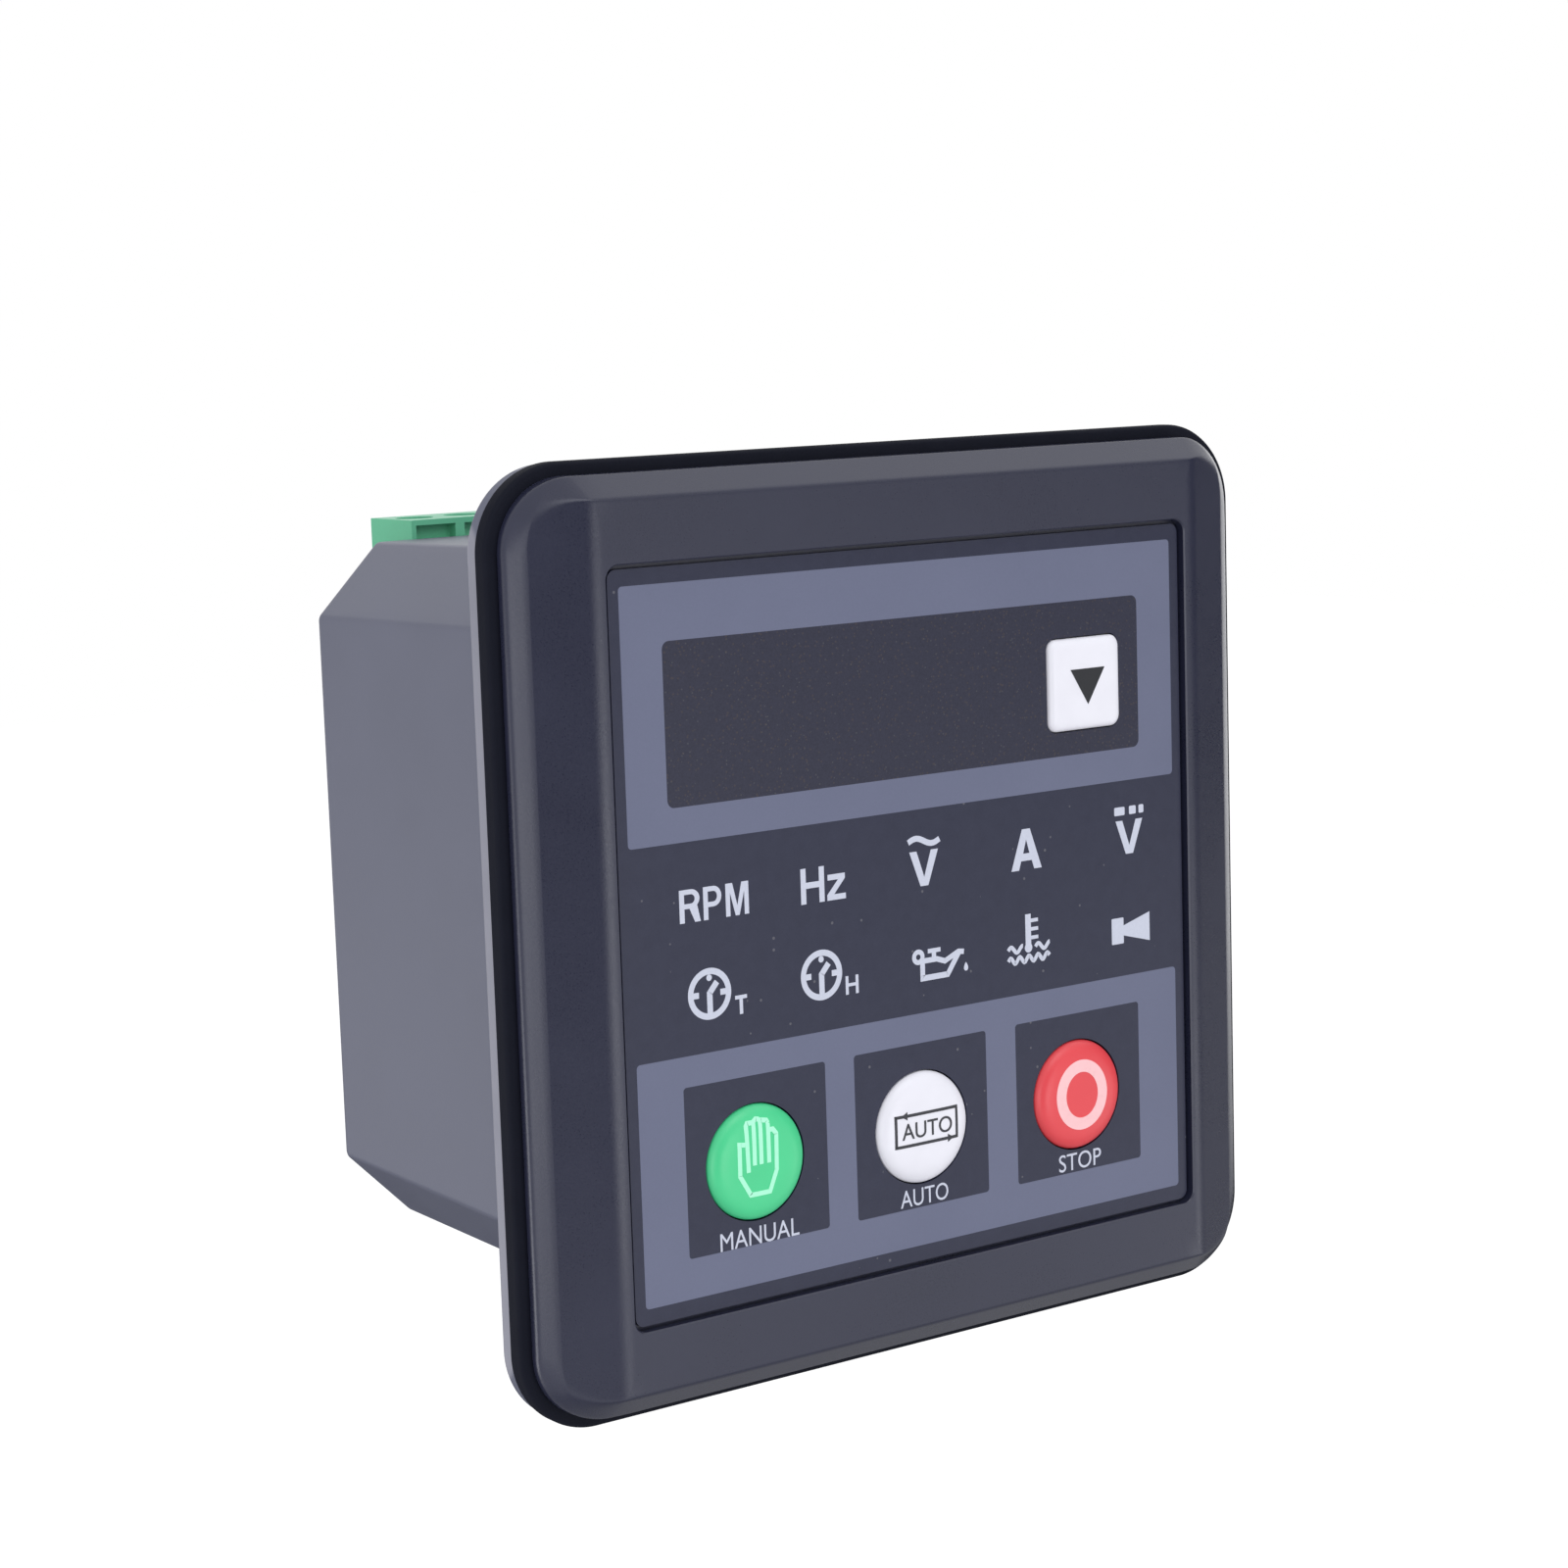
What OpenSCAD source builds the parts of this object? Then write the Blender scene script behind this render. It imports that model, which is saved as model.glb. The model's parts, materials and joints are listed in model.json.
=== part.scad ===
// Genset controller: a square, panel-mounted control unit with four sprung keys,
// a dark display window, two stacked boards and plug-in wire terminals at the back.
// The front faces -Y and +Z is up. The origin is the centre of the face that seats
// on the panel, which is the rear face of the housing's flange.

/* [Bezel] */
// Outer width and height of the bezel
bezel_w = 75.8; // [75:0.2:84]
// Depth of the bezel, front face to rear face
bezel_t = 3.7; // [3.5:0.1:5]
// Corner radius of the bezel's outline
bezel_corner_r = 6; // [4:0.5:9]
// Width of each sloping side, from the crease to the outer wall
side_bevel_w = 6.7; // [5:0.1:7]
// Slope of the sides, back from the front face
side_bevel_deg = 20; // [12:1:21]
// Chamfer along the top, the bottom and the corners
edge_chamfer = 1.85; // [1:0.05:2.2]
// Rounding of the crease between the front face and a side
crease_r = 5; // [2:0.5:8]
// Rounding where a side meets the outer wall
side_edge_r = 1.3; // [0.5:0.1:1.4]
// Rounding of both edges of the chamfer
chamfer_edge_r = 0.6; // [0.2:0.1:0.9]
// Thickness of the bezel's floor behind the overlay
floor_t = 1.5; // [1.2:0.1:2]
// Thickness of the skirt that goes into the housing
skirt_t = 1.5; // [1.2:0.1:1.8]
// How far the skirt reaches behind the panel's seat
skirt_reach = 3; // [2.8:0.1:5]

/* [Overlay] */
// Width of the printed overlay
overlay_w = 59.8; // [58:0.2:61]
// Height of the printed overlay
overlay_h = 61; // [58:0.2:63]
// Thickness of the overlay
overlay_t = 0.5; // [0.3:0.05:0.7]
// Corner radius of the overlay
overlay_r = 0.8; // [0.4:0.1:2]
// How far the overlay lies below the bezel's front face
overlay_sink = 0.55; // [0.3:0.05:0.7]
// Groove left round the overlay
overlay_groove = 0.5; // [0.2:0.05:0.6]

/* [Seal and flange] */
// How far the gasket shows outside the bezel
gasket_lip = 1.1; // [0.6:0.1:2]
// Thickness of the gasket
gasket_t = 1.05; // [0.8:0.05:2]
// How far the flange reaches outside the bezel
flange_lip = 0.9; // [0.3:0.1:2]
// Thickness of the housing's flange
flange_t = 2.1; // [1.6:0.1:3]
// Rounding of the flange's rear edge
flange_edge_r = 0.5; // [0.2:0.1:0.8]

/* [Housing] */
// Width and height of the housing at its rear face
housing_w = 61.6; // [61:0.2:64]
// Depth of the housing behind the panel's seat
housing_d = 40.5; // [39:0.5:50]
// Draft of each side wall
draft_deg = 1; // [0.5:0.1:1.2]
// Leg of the chamfered corners
corner_leg = 6.25; // [5:0.25:7]
// Wall of the housing
wall = 2; // [1.6:0.1:2.2]
// Rounding of the housing's rear edge
rear_edge_r = 1.2; // [0.5:0.1:1.6]

/* [Snap lugs] */
// Width of the lugs that hold the bezel in the housing
lug_w = 10; // [6:0.5:14]
// How far a lug stands out of the skirt
lug_rise = 0.7; // [0.5:0.05:0.8]
// Start of the lugs, behind the panel's seat
lug_front = 1.1; // [0.8:0.1:1.3]
// Depth of the lugs along the skirt
lug_t = 1.2; // [0.8:0.1:1.4]

/* [Keys] */
// Diameter of the round keys
key_d = 9.7; // [8:0.1:10.4]
// Spacing of the round keys
key_pitch = 17.35; // [16.5:0.05:17.8]
// Sideways place of the round keys' row
key_x = -0.3; // [-1:0.05:1]
// Upward place of the round keys' row
key_z = -18.85; // [-19.5:0.05:-17]
// How far a round key stands out of the overlay
key_proud = 0.75; // [0.5:0.05:1.5]
// Rounding of a round key's front edge
key_edge_r = 0.9; // [0.3:0.1:1.2]
// Width and height of the square scroll key
scroll_w = 8; // [6.5:0.1:8.4]
// Scroll key's place, to the right
scroll_x = 18.65; // [17:0.05:19]
// Scroll key's place, upwards
scroll_z = 17.35; // [17:0.05:20]
// How far the scroll key stands out of the overlay
scroll_proud = 0.55; // [0.5:0.05:1.5]
// Rounding of the scroll key's front edge
scroll_edge_r = 0.5; // [0.2:0.1:0.9]
// Corner radius of the scroll key
scroll_r = 0.9; // [0.5:0.1:2]
// Width of the collar that keeps a key behind the floor
key_collar_w = 0.9; // [0.6:0.1:1]
// Thickness of that collar
key_collar_t = 1; // [0.8:0.1:1.5]
// How far a key can be pressed in
key_travel = 0.5; // [0.3:0.05:0.6]

/* [Switches] */
// Width and height of a switch body
switch_w = 6; // [5:0.1:6.5]
// Depth of a switch body
switch_h = 3.5; // [3.2:0.1:4.5]
// Diameter of a switch's plunger
plunger_d = 3.4; // [2.6:0.1:3.8]

/* [Lamps] */
// Diameter of a lamp
lamp_d = 3; // [2:0.1:3.4]
// Spacing of the lamp columns
lamp_pitch = 11.1; // [10:0.1:11.4]
// Sideways place of the middle lamp column
lamp_x = 1.2; // [0:0.1:1.4]
// Height of the upper lamp row
lamp_z_upper = 3.1; // [2:0.1:5]
// Height of the lower lamp row
lamp_z_lower = -4.6; // [-6:0.1:-3]
// How far a lamp's rim stands out of its body
lamp_rim_w = 0.25; // [0.1:0.05:0.4]
// Thickness of that rim
lamp_rim_t = 1; // [0.6:0.1:1.5]

/* [Digit display] */
// Width of the display
display_w = 30; // [29.5:0.1:31]
// Height of the display
display_h = 11.5; // [11:0.1:12]
// Sideways place of the display
display_x = -5; // [-6:0.1:-4]
// Upward place of the display
display_z = 17.7; // [16.5:0.1:18.5]
// Margin of the display that the bezel's floor covers
display_edge = 1; // [0.4:0.1:1]
// Width of a digit
digit_w = 4.6; // [4:0.1:5]
// Height of a digit
digit_h = 7.6; // [6.5:0.1:8]
// Spacing of the digits
digit_pitch = 7; // [6.5:0.1:7.2]
// Width of a digit's bars
bar_w = 0.7; // [0.5:0.05:0.9]
// Gap between the ends of two bars
bar_gap = 0.2; // [0.1:0.05:0.4]
// Depth of a digit's bars
bar_depth = 0.3; // [0.1:0.05:0.5]

/* [Boards] */
// Thickness of both boards
board_t = 1.6; // [1:0.1:2]
// Distance between the two boards
board_span = 24.1; // [23:0.1:27]
// Diameter of the spacers between the boards
spacer_d = 4; // [3.6:0.1:4.2]
// Spacers' distance from the boards' side edges
spacer_in = 2.3; // [2.2:0.1:2.4]
// Spacers' distance above and below the middle
spacer_z = 10; // [9:0.1:11]
// Diameter of the spacers' studs and of the board screws
stud_d = 2; // [1.6:0.1:2.2]
// Length of a spacer's stud, from the display board's front
stud_len = 4; // [3:0.1:4.5]
// Length of a board screw below its head
screw_len = 6; // [5:0.5:10]
// Diameter of a board screw's head
screw_head_d = 3.8; // [3.4:0.1:4.2]
// Height of a board screw's head
screw_head_h = 1.6; // [1.2:0.1:2]

/* [Controller chip] */
// Width and height of the chip
chip_w = 10; // [8.5:0.5:10]
// Thickness of the chip
chip_t = 1.4; // [1:0.1:2]
// Leads along each side
chip_leads = 11; // [4:1:11]
// Spacing of the leads
chip_pitch = 0.8; // [0.65:0.05:0.85]
// How far a lead stands out of the chip
chip_lead_len = 0.9; // [0.5:0.1:1.2]
// Upward place of the chip
chip_z = 6; // [3:0.5:12]

/* [Link between the boards] */
// Number of pins in the link
link_poles = 8; // [4:1:12]
// Spacing of the pins
link_pitch = 2.54; // [2:0.02:2.54]
// Width of a pin
link_pin = 0.64; // [0.5:0.02:0.7]
// Upward place of the link
link_z = -9; // [-10:0.5:-8]
// Depth of the bar that holds the pins
link_base_t = 2.5; // [2:0.1:3]
// Depth of the socket
link_socket_t = 8.5; // [6:0.5:10]
// How far the pins go into the socket
link_overlap = 4; // [3:0.5:5]

/* [Main board parts] */
// Width of a relay
relay_w = 10.2; // [7:0.1:11.5]
// Height of a relay
relay_h = 20.4; // [15:0.1:21]
// Depth of a relay
relay_t = 15.6; // [10:0.1:18]
// Gap between two relays
relay_gap = 1.5; // [0.8:0.1:1.6]
// Upward place of the relays
relay_z = 6; // [4:0.5:12]
// Thickness of a relay's base plate
relay_base = 1.2; // [0.8:0.1:2]
// How far the base plate stands out round a relay
relay_base_lip = 0.3; // [0.1:0.05:0.5]
// Diameter of a capacitor
capacitor_d = 8; // [5:0.5:9]
// Height of a capacitor
capacitor_h = 12; // [8:0.5:18]
// Capacitors' distance from the middle
capacitor_x = 12; // [6:0.5:14]
// Gap between the capacitors and the lower row of pins
capacitor_gap = 0.8; // [0.4:0.1:1.5]
// Rounding of a capacitor's end
capacitor_edge_r = 0.5; // [0.2:0.1:1]

/* [Terminals] */
// Number of poles in a terminal row
poles = 8; // [4:1:8]
// Spacing of the poles
pole_pitch = 5.08; // [4.8:0.02:5.08]
// Height of a terminal plug
plug_h = 14; // [13:0.1:15]
// How far a plug stands out of the rear face
plug_d = 7.5; // [7:0.1:10]
// How far a plug stands above the housing's rear edge
plug_rise = 1.6; // [1:0.1:2.2]
// Height of the header that a plug is pushed into
header_h = 8.6; // [8.2:0.1:9]
// Wall of the header
header_wall = 0.8; // [0.6:0.05:1]
// Base of the header, on the main board
header_base = 2; // [1.5:0.1:2.5]
// Distance from the header to the housing's inner wall
header_inset = 0.7; // [0.5:0.1:1]
// How far the header ends inside the rear face
header_sink = 0.6; // [0.3:0.1:1]
// Width of a header's pin
pin_w = 1; // [0.8:0.05:1.2]
// How far a pin stands out of the main board's front
pin_tail = 1.2; // [0.8:0.1:2]
// How far a pin ends inside the header
pin_sink = 2.2; // [1.5:0.1:3]
// Material left between two wire entries
entry_rib = 1.4; // [1.2:0.1:1.8]
// Height of a wire entry
entry_h = 3.9; // [3.4:0.1:4]
// Depth of a wire entry
entry_depth = 5.6; // [5:0.1:6]
// Material between a wire entry and the plug's underside
entry_rise = 2; // [1.5:0.1:2.5]
// Wall of a clamp
clamp_wall = 0.5; // [0.3:0.05:0.6]
// How far a clamp lies inside its entry
clamp_set = 0.9; // [0.5:0.1:1.2]
// Diameter of a terminal screw's head
head_d = 3.3; // [2.8:0.1:3.4]
// Height of that head
head_h = 1.8; // [1.2:0.1:2.2]
// How far the head lies below the plug's top
head_set = 0.8; // [0.4:0.1:1.5]
// Diameter of a terminal screw's shank
shank_d = 2.4; // [1.8:0.1:2.4]
// Terminal screws' distance from the plug's rear face
shank_in = 3.6; // [3.2:0.1:3.8]
// Width of a screw slot
slot_w = 0.6; // [0.4:0.05:0.8]
// Depth of a screw slot
slot_d = 0.7; // [0.4:0.05:0.9]
// Lip along the plug's top, above its front pockets
lip_t = 0.5; // [0.3:0.05:0.8]
// Height of a front pocket
pocket_h = 1.7; // [1:0.1:2.5]
// Depth of a front pocket
pocket_d = 1.1; // [0.5:0.1:1.3]
// Rib between two front pockets
pocket_rib = 1; // [0.6:0.1:1.4]

/* [Clearances] */
// Round a key
key_clear = 0.3; // [0.2:0.05:0.5]
// Between a key's collar and the floor, at rest
key_rest_gap = 0.3; // [0.1:0.05:0.4]
// Left beyond a key's travel
key_stop_gap = 0.3; // [0.1:0.05:0.5]
// Round a switch's plunger
plunger_clear = 0.08; // [0.02:0.01:0.1]
// Between the skirt and the housing
skirt_clear = 0.2; // [0.1:0.05:0.3]
// Round a snap lug
lug_clear = 0.15; // [0.05:0.05:0.3]
// Between the boards and the skirt
board_clear = 0.5; // [0.3:0.1:0.8]
// Round studs and screws
screw_clear = 0.12; // [0.05:0.01:0.2]
// Round soldered and linked pins
pin_clear = 0.05; // [0.02:0.01:0.1]
// Between a plug and its header
mate_clear = 0.2; // [0.1:0.05:0.3]
// Round a lamp, in the floor
lamp_clear = 0.2; // [0.1:0.05:0.4]
// Between the floor and what shines through it
lamp_gap = 0.3; // [0.1:0.05:0.5]
// Round a header, in the rear wall
opening_clear = 0.3; // [0.2:0.05:0.5]
// Between a plug and the rear face
plug_gap = 0.2; // [0.1:0.05:0.4]
// Round a clamp
clamp_clear = 0.1; // [0.05:0.05:0.15]
// Round a terminal screw's head
head_clear = 0.1; // [0.05:0.05:0.2]

/* [Hidden] */
$fn = 64;

// Overrun of a cut past the face that it opens
cut = 1;
// Overlap of two cuts that meet end to end
seam = 0.02;

// Planes along Y, from the panel's seat to the front and then back through the boards
flange_front = -flange_t;
bezel_rear = flange_front - gasket_t;
bezel_front = bezel_rear - bezel_t;
overlay_front = bezel_front + overlay_sink;
recess_floor = overlay_front + overlay_t;
floor_rear = recess_floor + floor_t;
lamp_tip = floor_rear + lamp_gap;
key_front = overlay_front - key_proud;
scroll_front = overlay_front - scroll_proud;
collar_front = floor_rear + key_rest_gap;
collar_rear = collar_front + key_collar_t;
plunger_reach = key_travel + key_stop_gap;
switch_front = collar_rear + plunger_reach;
board_front = switch_front + switch_h;
board_rear = board_front + board_t;
main_front = board_rear + board_span;
main_rear = main_front + board_t;
rear_inner = housing_d - wall;

// Bezel, gasket and flange outlines
bezel_half = bezel_w / 2;
crease_half = bezel_half - side_bevel_w;
side_drop = side_bevel_w * tan(side_bevel_deg);
gasket_w = bezel_w + 2 * gasket_lip;
flange_w = bezel_w + 2 * flange_lip;

// Housing, skirt and boards are one octagon, set in step by step.
// Setting an octagon in by t shortens its chamfers' legs by inset_leg * t.
inset_leg = 2 - sqrt(2);
draft = tan(draft_deg);
rear_half = housing_w / 2;
seat_half = rear_half + draft * housing_d;
skirt_out = wall + skirt_clear;
skirt_in = skirt_out + skirt_t;
board_in = skirt_in + board_clear;
spacer_x = seat_half - board_in - spacer_in;

// Rows on the front
key_xs = [for (i = [-1 : 1]) key_x + i * key_pitch];
lamp_cols = [-2 : 2];
lamp_rows = [lamp_z_upper, lamp_z_lower];
digit_cols = [-1.5 : 1.5];
relay_pitch = relay_w + relay_gap;

// Header, its pins, and the plug's nose inside it
row_len = poles * pole_pitch;
header_len = row_len + header_wall;
header_z = rear_half - wall - header_inset - header_h / 2;
header_tip = housing_d - header_sink;
pin_tip = header_tip - pin_sink;
capacitor_z = pin_w / 2 + capacitor_gap + capacitor_d / 2 - header_z;
nose_gap = header_wall + mate_clear;
nose_h = header_h - 2 * nose_gap;
nose_len = header_len - 2 * nose_gap;
nose_tip = main_rear + header_base + nose_gap;

// Plug body behind the rear face
plug_front = housing_d + plug_gap;
plug_rear = plug_front + plug_d;
plug_top = rear_half + plug_rise;
plug_z = plug_top - plug_h / 2;
entry_w = pole_pitch - entry_rib;
entry_front = plug_rear - entry_depth;
entry_z = plug_top - plug_h + entry_rise + entry_h / 2;
shank_y = plug_rear - shank_in;

// Colours
dark_grey = "#44454f";
film_black = "#25252b";
steel_grey = "#7a7c89";
rubber_black = "#14161f";
key_green = "#4fd08c";
key_white = "#ebecf2";
key_red = "#e04a52";
board_green = "#1f5a38";
terminal_green = "#4fae83";

// Flat shapes

function unit(v) = v / norm(v);

// Half the angle between the two sides that meet at b
function half_angle(a, b, c) = acos(unit(a - b) * unit(c - b)) / 2;

// The two points where an arc of radius r meets the sides at corner b
function arc_ends(a, b, c, r) =
    let (t = r / tan(half_angle(a, b, c)))
    [b + t * unit(a - b), b + t * unit(c - b)];

function arc_centre(a, b, c, r) =
    b + unit(unit(a - b) + unit(c - b)) * r / sin(half_angle(a, b, c));

// Convex polygon with a rounding of its own at each corner
module soft_polygon(points, radii) {
    n = len(points);
    polygon([
        for (i = [0 : n - 1])
            let (a = points[(i + n - 1) % n], b = points[i], c = points[(i + 1) % n])
            each radii[i] > 0 ? arc_ends(a, b, c, radii[i]) : [b]
    ]);
    for (i = [0 : n - 1])
        if (radii[i] > 0)
            translate(arc_centre(points[(i + n - 1) % n], points[i], points[(i + 1) % n], radii[i]))
                circle(r = radii[i]);
}

module round_rect(w, h, r) {
    square([w - 2 * r, h], center = true);
    square([w, h - 2 * r], center = true);
    for (x = [-1, 1], y = [-1, 1])
        translate([x * (w / 2 - r), y * (h / 2 - r)])
            circle(r = r);
}

// The octagon of the housing's mouth, set in by t
module seat_octagon(t) {
    half = seat_half - t;
    in = half - (corner_leg - inset_leg * t);
    polygon([
        [-half, -in], [-in, -half], [in, -half], [half, -in],
        [half, in], [in, half], [-in, half], [-half, in]
    ]);
}

// Solids on the Y axis

// A flat shape drawn in X and Z, carried from y0 to y1
module along_y(y0, y1) {
    translate([0, y1, 0])
        rotate([90, 0, 0])
            linear_extrude(y1 - y0)
                children();
}

// A half section, drawn as radius and Y, turned round the Y axis
module about_y() {
    rotate([-90, 0, 0])
        rotate_extrude()
            children();
}

// A section drawn in X and Y, carried along Z and then along X
module both_ways(length) {
    linear_extrude(length, center = true)
        children();
    rotate([0, 90, 0])
        linear_extrude(length, center = true)
            children();
}

// A square plate whose edge follows a section all the way round, with corners of radius r.
// The section is drawn in X and Y, and is 2 * half wide.
module edged_plate(half, r, y0, y1) {
    straight = 2 * (half - r);
    both_ways(straight)
        children();
    for (x = [-1, 1], z = [-1, 1])
        translate([x * straight / 2, 0, z * straight / 2])
            about_y()
                intersection() {
                    translate([r - half, 0])
                        children();
                    translate([0, y0])
                        square([r, y1 - y0]);
                }
}

module bar_y(d, y0, y1) {
    along_y(y0, y1)
        circle(d = d);
}

module block(w, h, y0, y1) {
    translate([-w / 2, y0, -h / 2])
        cube([w, y1 - y0, h]);
}

// Places

module at_spacers() {
    for (x = [-spacer_x, spacer_x], z = [-spacer_z, spacer_z])
        translate([x, 0, z])
            children();
}

module at_lamps() {
    for (col = lamp_cols, z = lamp_rows)
        translate([lamp_x + col * lamp_pitch, 0, z])
            children();
}

module at_poles(z) {
    for (i = [0 : poles - 1])
        translate([(i - (poles - 1) / 2) * pole_pitch, 0, z])
            children();
}

module at_link() {
    for (i = [0 : link_poles - 1])
        translate([(i - (link_poles - 1) / 2) * link_pitch, 0, link_z])
            children();
}

// Front bezel and overlay

module chamfer_section() {
    soft_polygon(
        [[-bezel_half, bezel_rear], [-bezel_half, bezel_front + edge_chamfer],
         [-bezel_half + edge_chamfer, bezel_front], [bezel_half - edge_chamfer, bezel_front],
         [bezel_half, bezel_front + edge_chamfer], [bezel_half, bezel_rear]],
        [0, chamfer_edge_r, chamfer_edge_r, chamfer_edge_r, chamfer_edge_r, 0]);
}

// Front seen from above: flat middle, soft creases and sides that slope back
module side_slopes() {
    linear_extrude(2 * bezel_w, center = true)
        soft_polygon(
            [[-bezel_half, bezel_rear], [-bezel_half, bezel_front + side_drop],
             [-crease_half, bezel_front], [crease_half, bezel_front],
             [bezel_half, bezel_front + side_drop], [bezel_half, bezel_rear]],
            [0, side_edge_r, crease_r, crease_r, side_edge_r, 0]);
}

module bezel_shell() {
    difference() {
        intersection() {
            edged_plate(bezel_half, bezel_corner_r, bezel_front, bezel_rear)
                chamfer_section();
            side_slopes();
        }
        along_y(bezel_front - cut, recess_floor)
            round_rect(overlay_w + 2 * overlay_groove, overlay_h + 2 * overlay_groove,
                       overlay_r + overlay_groove);
        along_y(floor_rear, bezel_rear + cut)
            seat_octagon(skirt_in);
    }
}

// Lugs in the middle of each side of the skirt, grown by clear for their pockets
module skirt_lugs(clear) {
    inner = seat_half - skirt_out - skirt_t / 2;
    for (turn = [0 : 90 : 270])
        rotate([0, turn, 0])
            translate([inner, lug_front - clear, -lug_w / 2 - clear])
                cube([skirt_t / 2 + lug_rise + clear, lug_t + 2 * clear, lug_w + 2 * clear]);
}

module skirt() {
    difference() {
        union() {
            along_y(bezel_rear, skirt_reach)
                seat_octagon(skirt_out);
            skirt_lugs(0);
        }
        along_y(bezel_rear - cut, skirt_reach + cut)
            seat_octagon(skirt_in);
    }
}

module key_openings() {
    for (x = key_xs)
        translate([x, key_z])
            circle(d = key_d + 2 * key_clear);
    translate([scroll_x, scroll_z])
        round_rect(scroll_w + 2 * key_clear, scroll_w + 2 * key_clear, scroll_r + key_clear);
}

module front_bezel() {
    color(dark_grey)
        difference() {
            union() {
                bezel_shell();
                skirt();
                at_spacers()
                    bar_y(spacer_d, floor_rear, board_front);
            }
            along_y(recess_floor - cut, floor_rear + cut)
                key_openings();
            at_lamps()
                bar_y(lamp_d + 2 * lamp_clear, recess_floor - cut, floor_rear + cut);
            translate([display_x, 0, display_z])
                block(display_w - 2 * display_edge, display_h - 2 * display_edge,
                      recess_floor - cut, floor_rear + cut);
            at_spacers()
                bar_y(stud_d + 2 * screw_clear, board_front - stud_len - mate_clear, board_front + cut);
        }
}

module overlay() {
    color(film_black)
        along_y(overlay_front, recess_floor)
            difference() {
                round_rect(overlay_w, overlay_h, overlay_r);
                key_openings();
            }
}

module gasket() {
    color(rubber_black)
        along_y(bezel_rear, flange_front)
            difference() {
                round_rect(gasket_w, gasket_w, bezel_corner_r + gasket_lip);
                seat_octagon(wall);
            }
}

// Rear housing

module flange_section() {
    half = flange_w / 2;
    soft_polygon(
        [[-half, flange_front], [half, flange_front], [half, 0], [-half, 0]],
        [0, 0, flange_edge_r, flange_edge_r]);
}

// One pair of drafted walls: a tapering section with soft rear corners
module drafted_pair(near, far, y1, r) {
    linear_extrude(4 * near, center = true)
        soft_polygon([[-near, 0], [near, 0], [far, y1], [-far, y1]], [0, 0, r, r]);
}

// Eight drafted walls from the seat to y1, set in by t
module drafted_block(t, y1, r) {
    front = seat_half - t;
    rear = front - draft * y1;
    leg = corner_leg - inset_leg * t;
    front_slant = (2 * front - leg) / sqrt(2);
    rear_slant = (2 * rear - leg) / sqrt(2);
    intersection() {
        drafted_pair(front, rear, y1, r);
        rotate([0, 45, 0])
            drafted_pair(front_slant, rear_slant, y1, r);
        rotate([0, 90, 0])
            drafted_pair(front, rear, y1, r);
        rotate([0, 135, 0])
            drafted_pair(front_slant, rear_slant, y1, r);
    }
}

module rear_housing() {
    color(steel_grey)
        difference() {
            union() {
                edged_plate(flange_w / 2, bezel_corner_r + flange_lip, flange_front, 0)
                    flange_section();
                drafted_block(0, housing_d, rear_edge_r);
            }
            drafted_block(wall, rear_inner, 0);
            along_y(flange_front - cut, seam)
                seat_octagon(wall);
            skirt_lugs(lug_clear);
            for (side = [-1, 1])
                translate([0, 0, side * header_z])
                    block(header_len + 2 * opening_clear, header_h + 2 * opening_clear,
                          rear_inner - cut, housing_d + cut);
        }
}

// Keys

// Half section of a round key: cap with a soft front edge, and its collar
module round_key_section() {
    r = key_d / 2;
    soft_polygon(
        [[0, key_front], [r, key_front], [r, collar_rear], [0, collar_rear]],
        [0, key_edge_r, 0, 0]);
    translate([0, collar_front])
        square([r + key_collar_w, key_collar_t]);
}

module round_key(x, shade) {
    color(shade)
        translate([x, 0, key_z])
            about_y()
                round_key_section();
}

module manual_button() {
    round_key(key_xs[0], key_green);
}

module auto_button() {
    round_key(key_xs[1], key_white);
}

module stop_button() {
    round_key(key_xs[2], key_red);
}

// Section of the square key, one way across
module scroll_section() {
    half = scroll_w / 2;
    soft_polygon(
        [[-half, scroll_front], [half, scroll_front], [half, collar_rear], [-half, collar_rear]],
        [scroll_edge_r, scroll_edge_r, 0, 0]);
}

module scroll_button() {
    collar_side = scroll_w + 2 * key_collar_w;
    color(key_white)
        translate([scroll_x, 0, scroll_z]) {
            intersection() {
                along_y(scroll_front, collar_rear)
                    round_rect(scroll_w, scroll_w, scroll_r);
                linear_extrude(2 * scroll_w, center = true)
                    scroll_section();
                rotate([0, 90, 0])
                    linear_extrude(2 * scroll_w, center = true)
                        scroll_section();
            }
            along_y(collar_front, collar_rear)
                round_rect(collar_side, collar_side, scroll_r);
        }
}

// Switches. A plunger moves with its key.

module plunger(x, z) {
    color("black")
        translate([x, 0, z])
            bar_y(plunger_d, collar_rear, switch_front + plunger_reach);
}

module switch_body(x, z) {
    hole_end = switch_front + 2 * plunger_reach;
    color("dimgray")
        translate([x, 0, z])
            difference() {
                block(switch_w, switch_w, switch_front, board_front);
                bar_y(plunger_d + 2 * plunger_clear, switch_front - cut, hole_end);
            }
}

module manual_plunger() {
    plunger(key_xs[0], key_z);
}

module auto_plunger() {
    plunger(key_xs[1], key_z);
}

module stop_plunger() {
    plunger(key_xs[2], key_z);
}

module scroll_plunger() {
    plunger(scroll_x, scroll_z);
}

module manual_switch() {
    switch_body(key_xs[0], key_z);
}

module auto_switch() {
    switch_body(key_xs[1], key_z);
}

module stop_switch() {
    switch_body(key_xs[2], key_z);
}

module scroll_switch() {
    switch_body(scroll_x, scroll_z);
}

// Display board and what it carries

module board(y0) {
    difference() {
        along_y(y0, y0 + board_t)
            seat_octagon(board_in);
        at_spacers()
            bar_y(stud_d + 2 * screw_clear, y0 - cut, y0 + board_t + cut);
    }
}

module display_board() {
    color(board_green)
        board(board_front);
}

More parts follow.
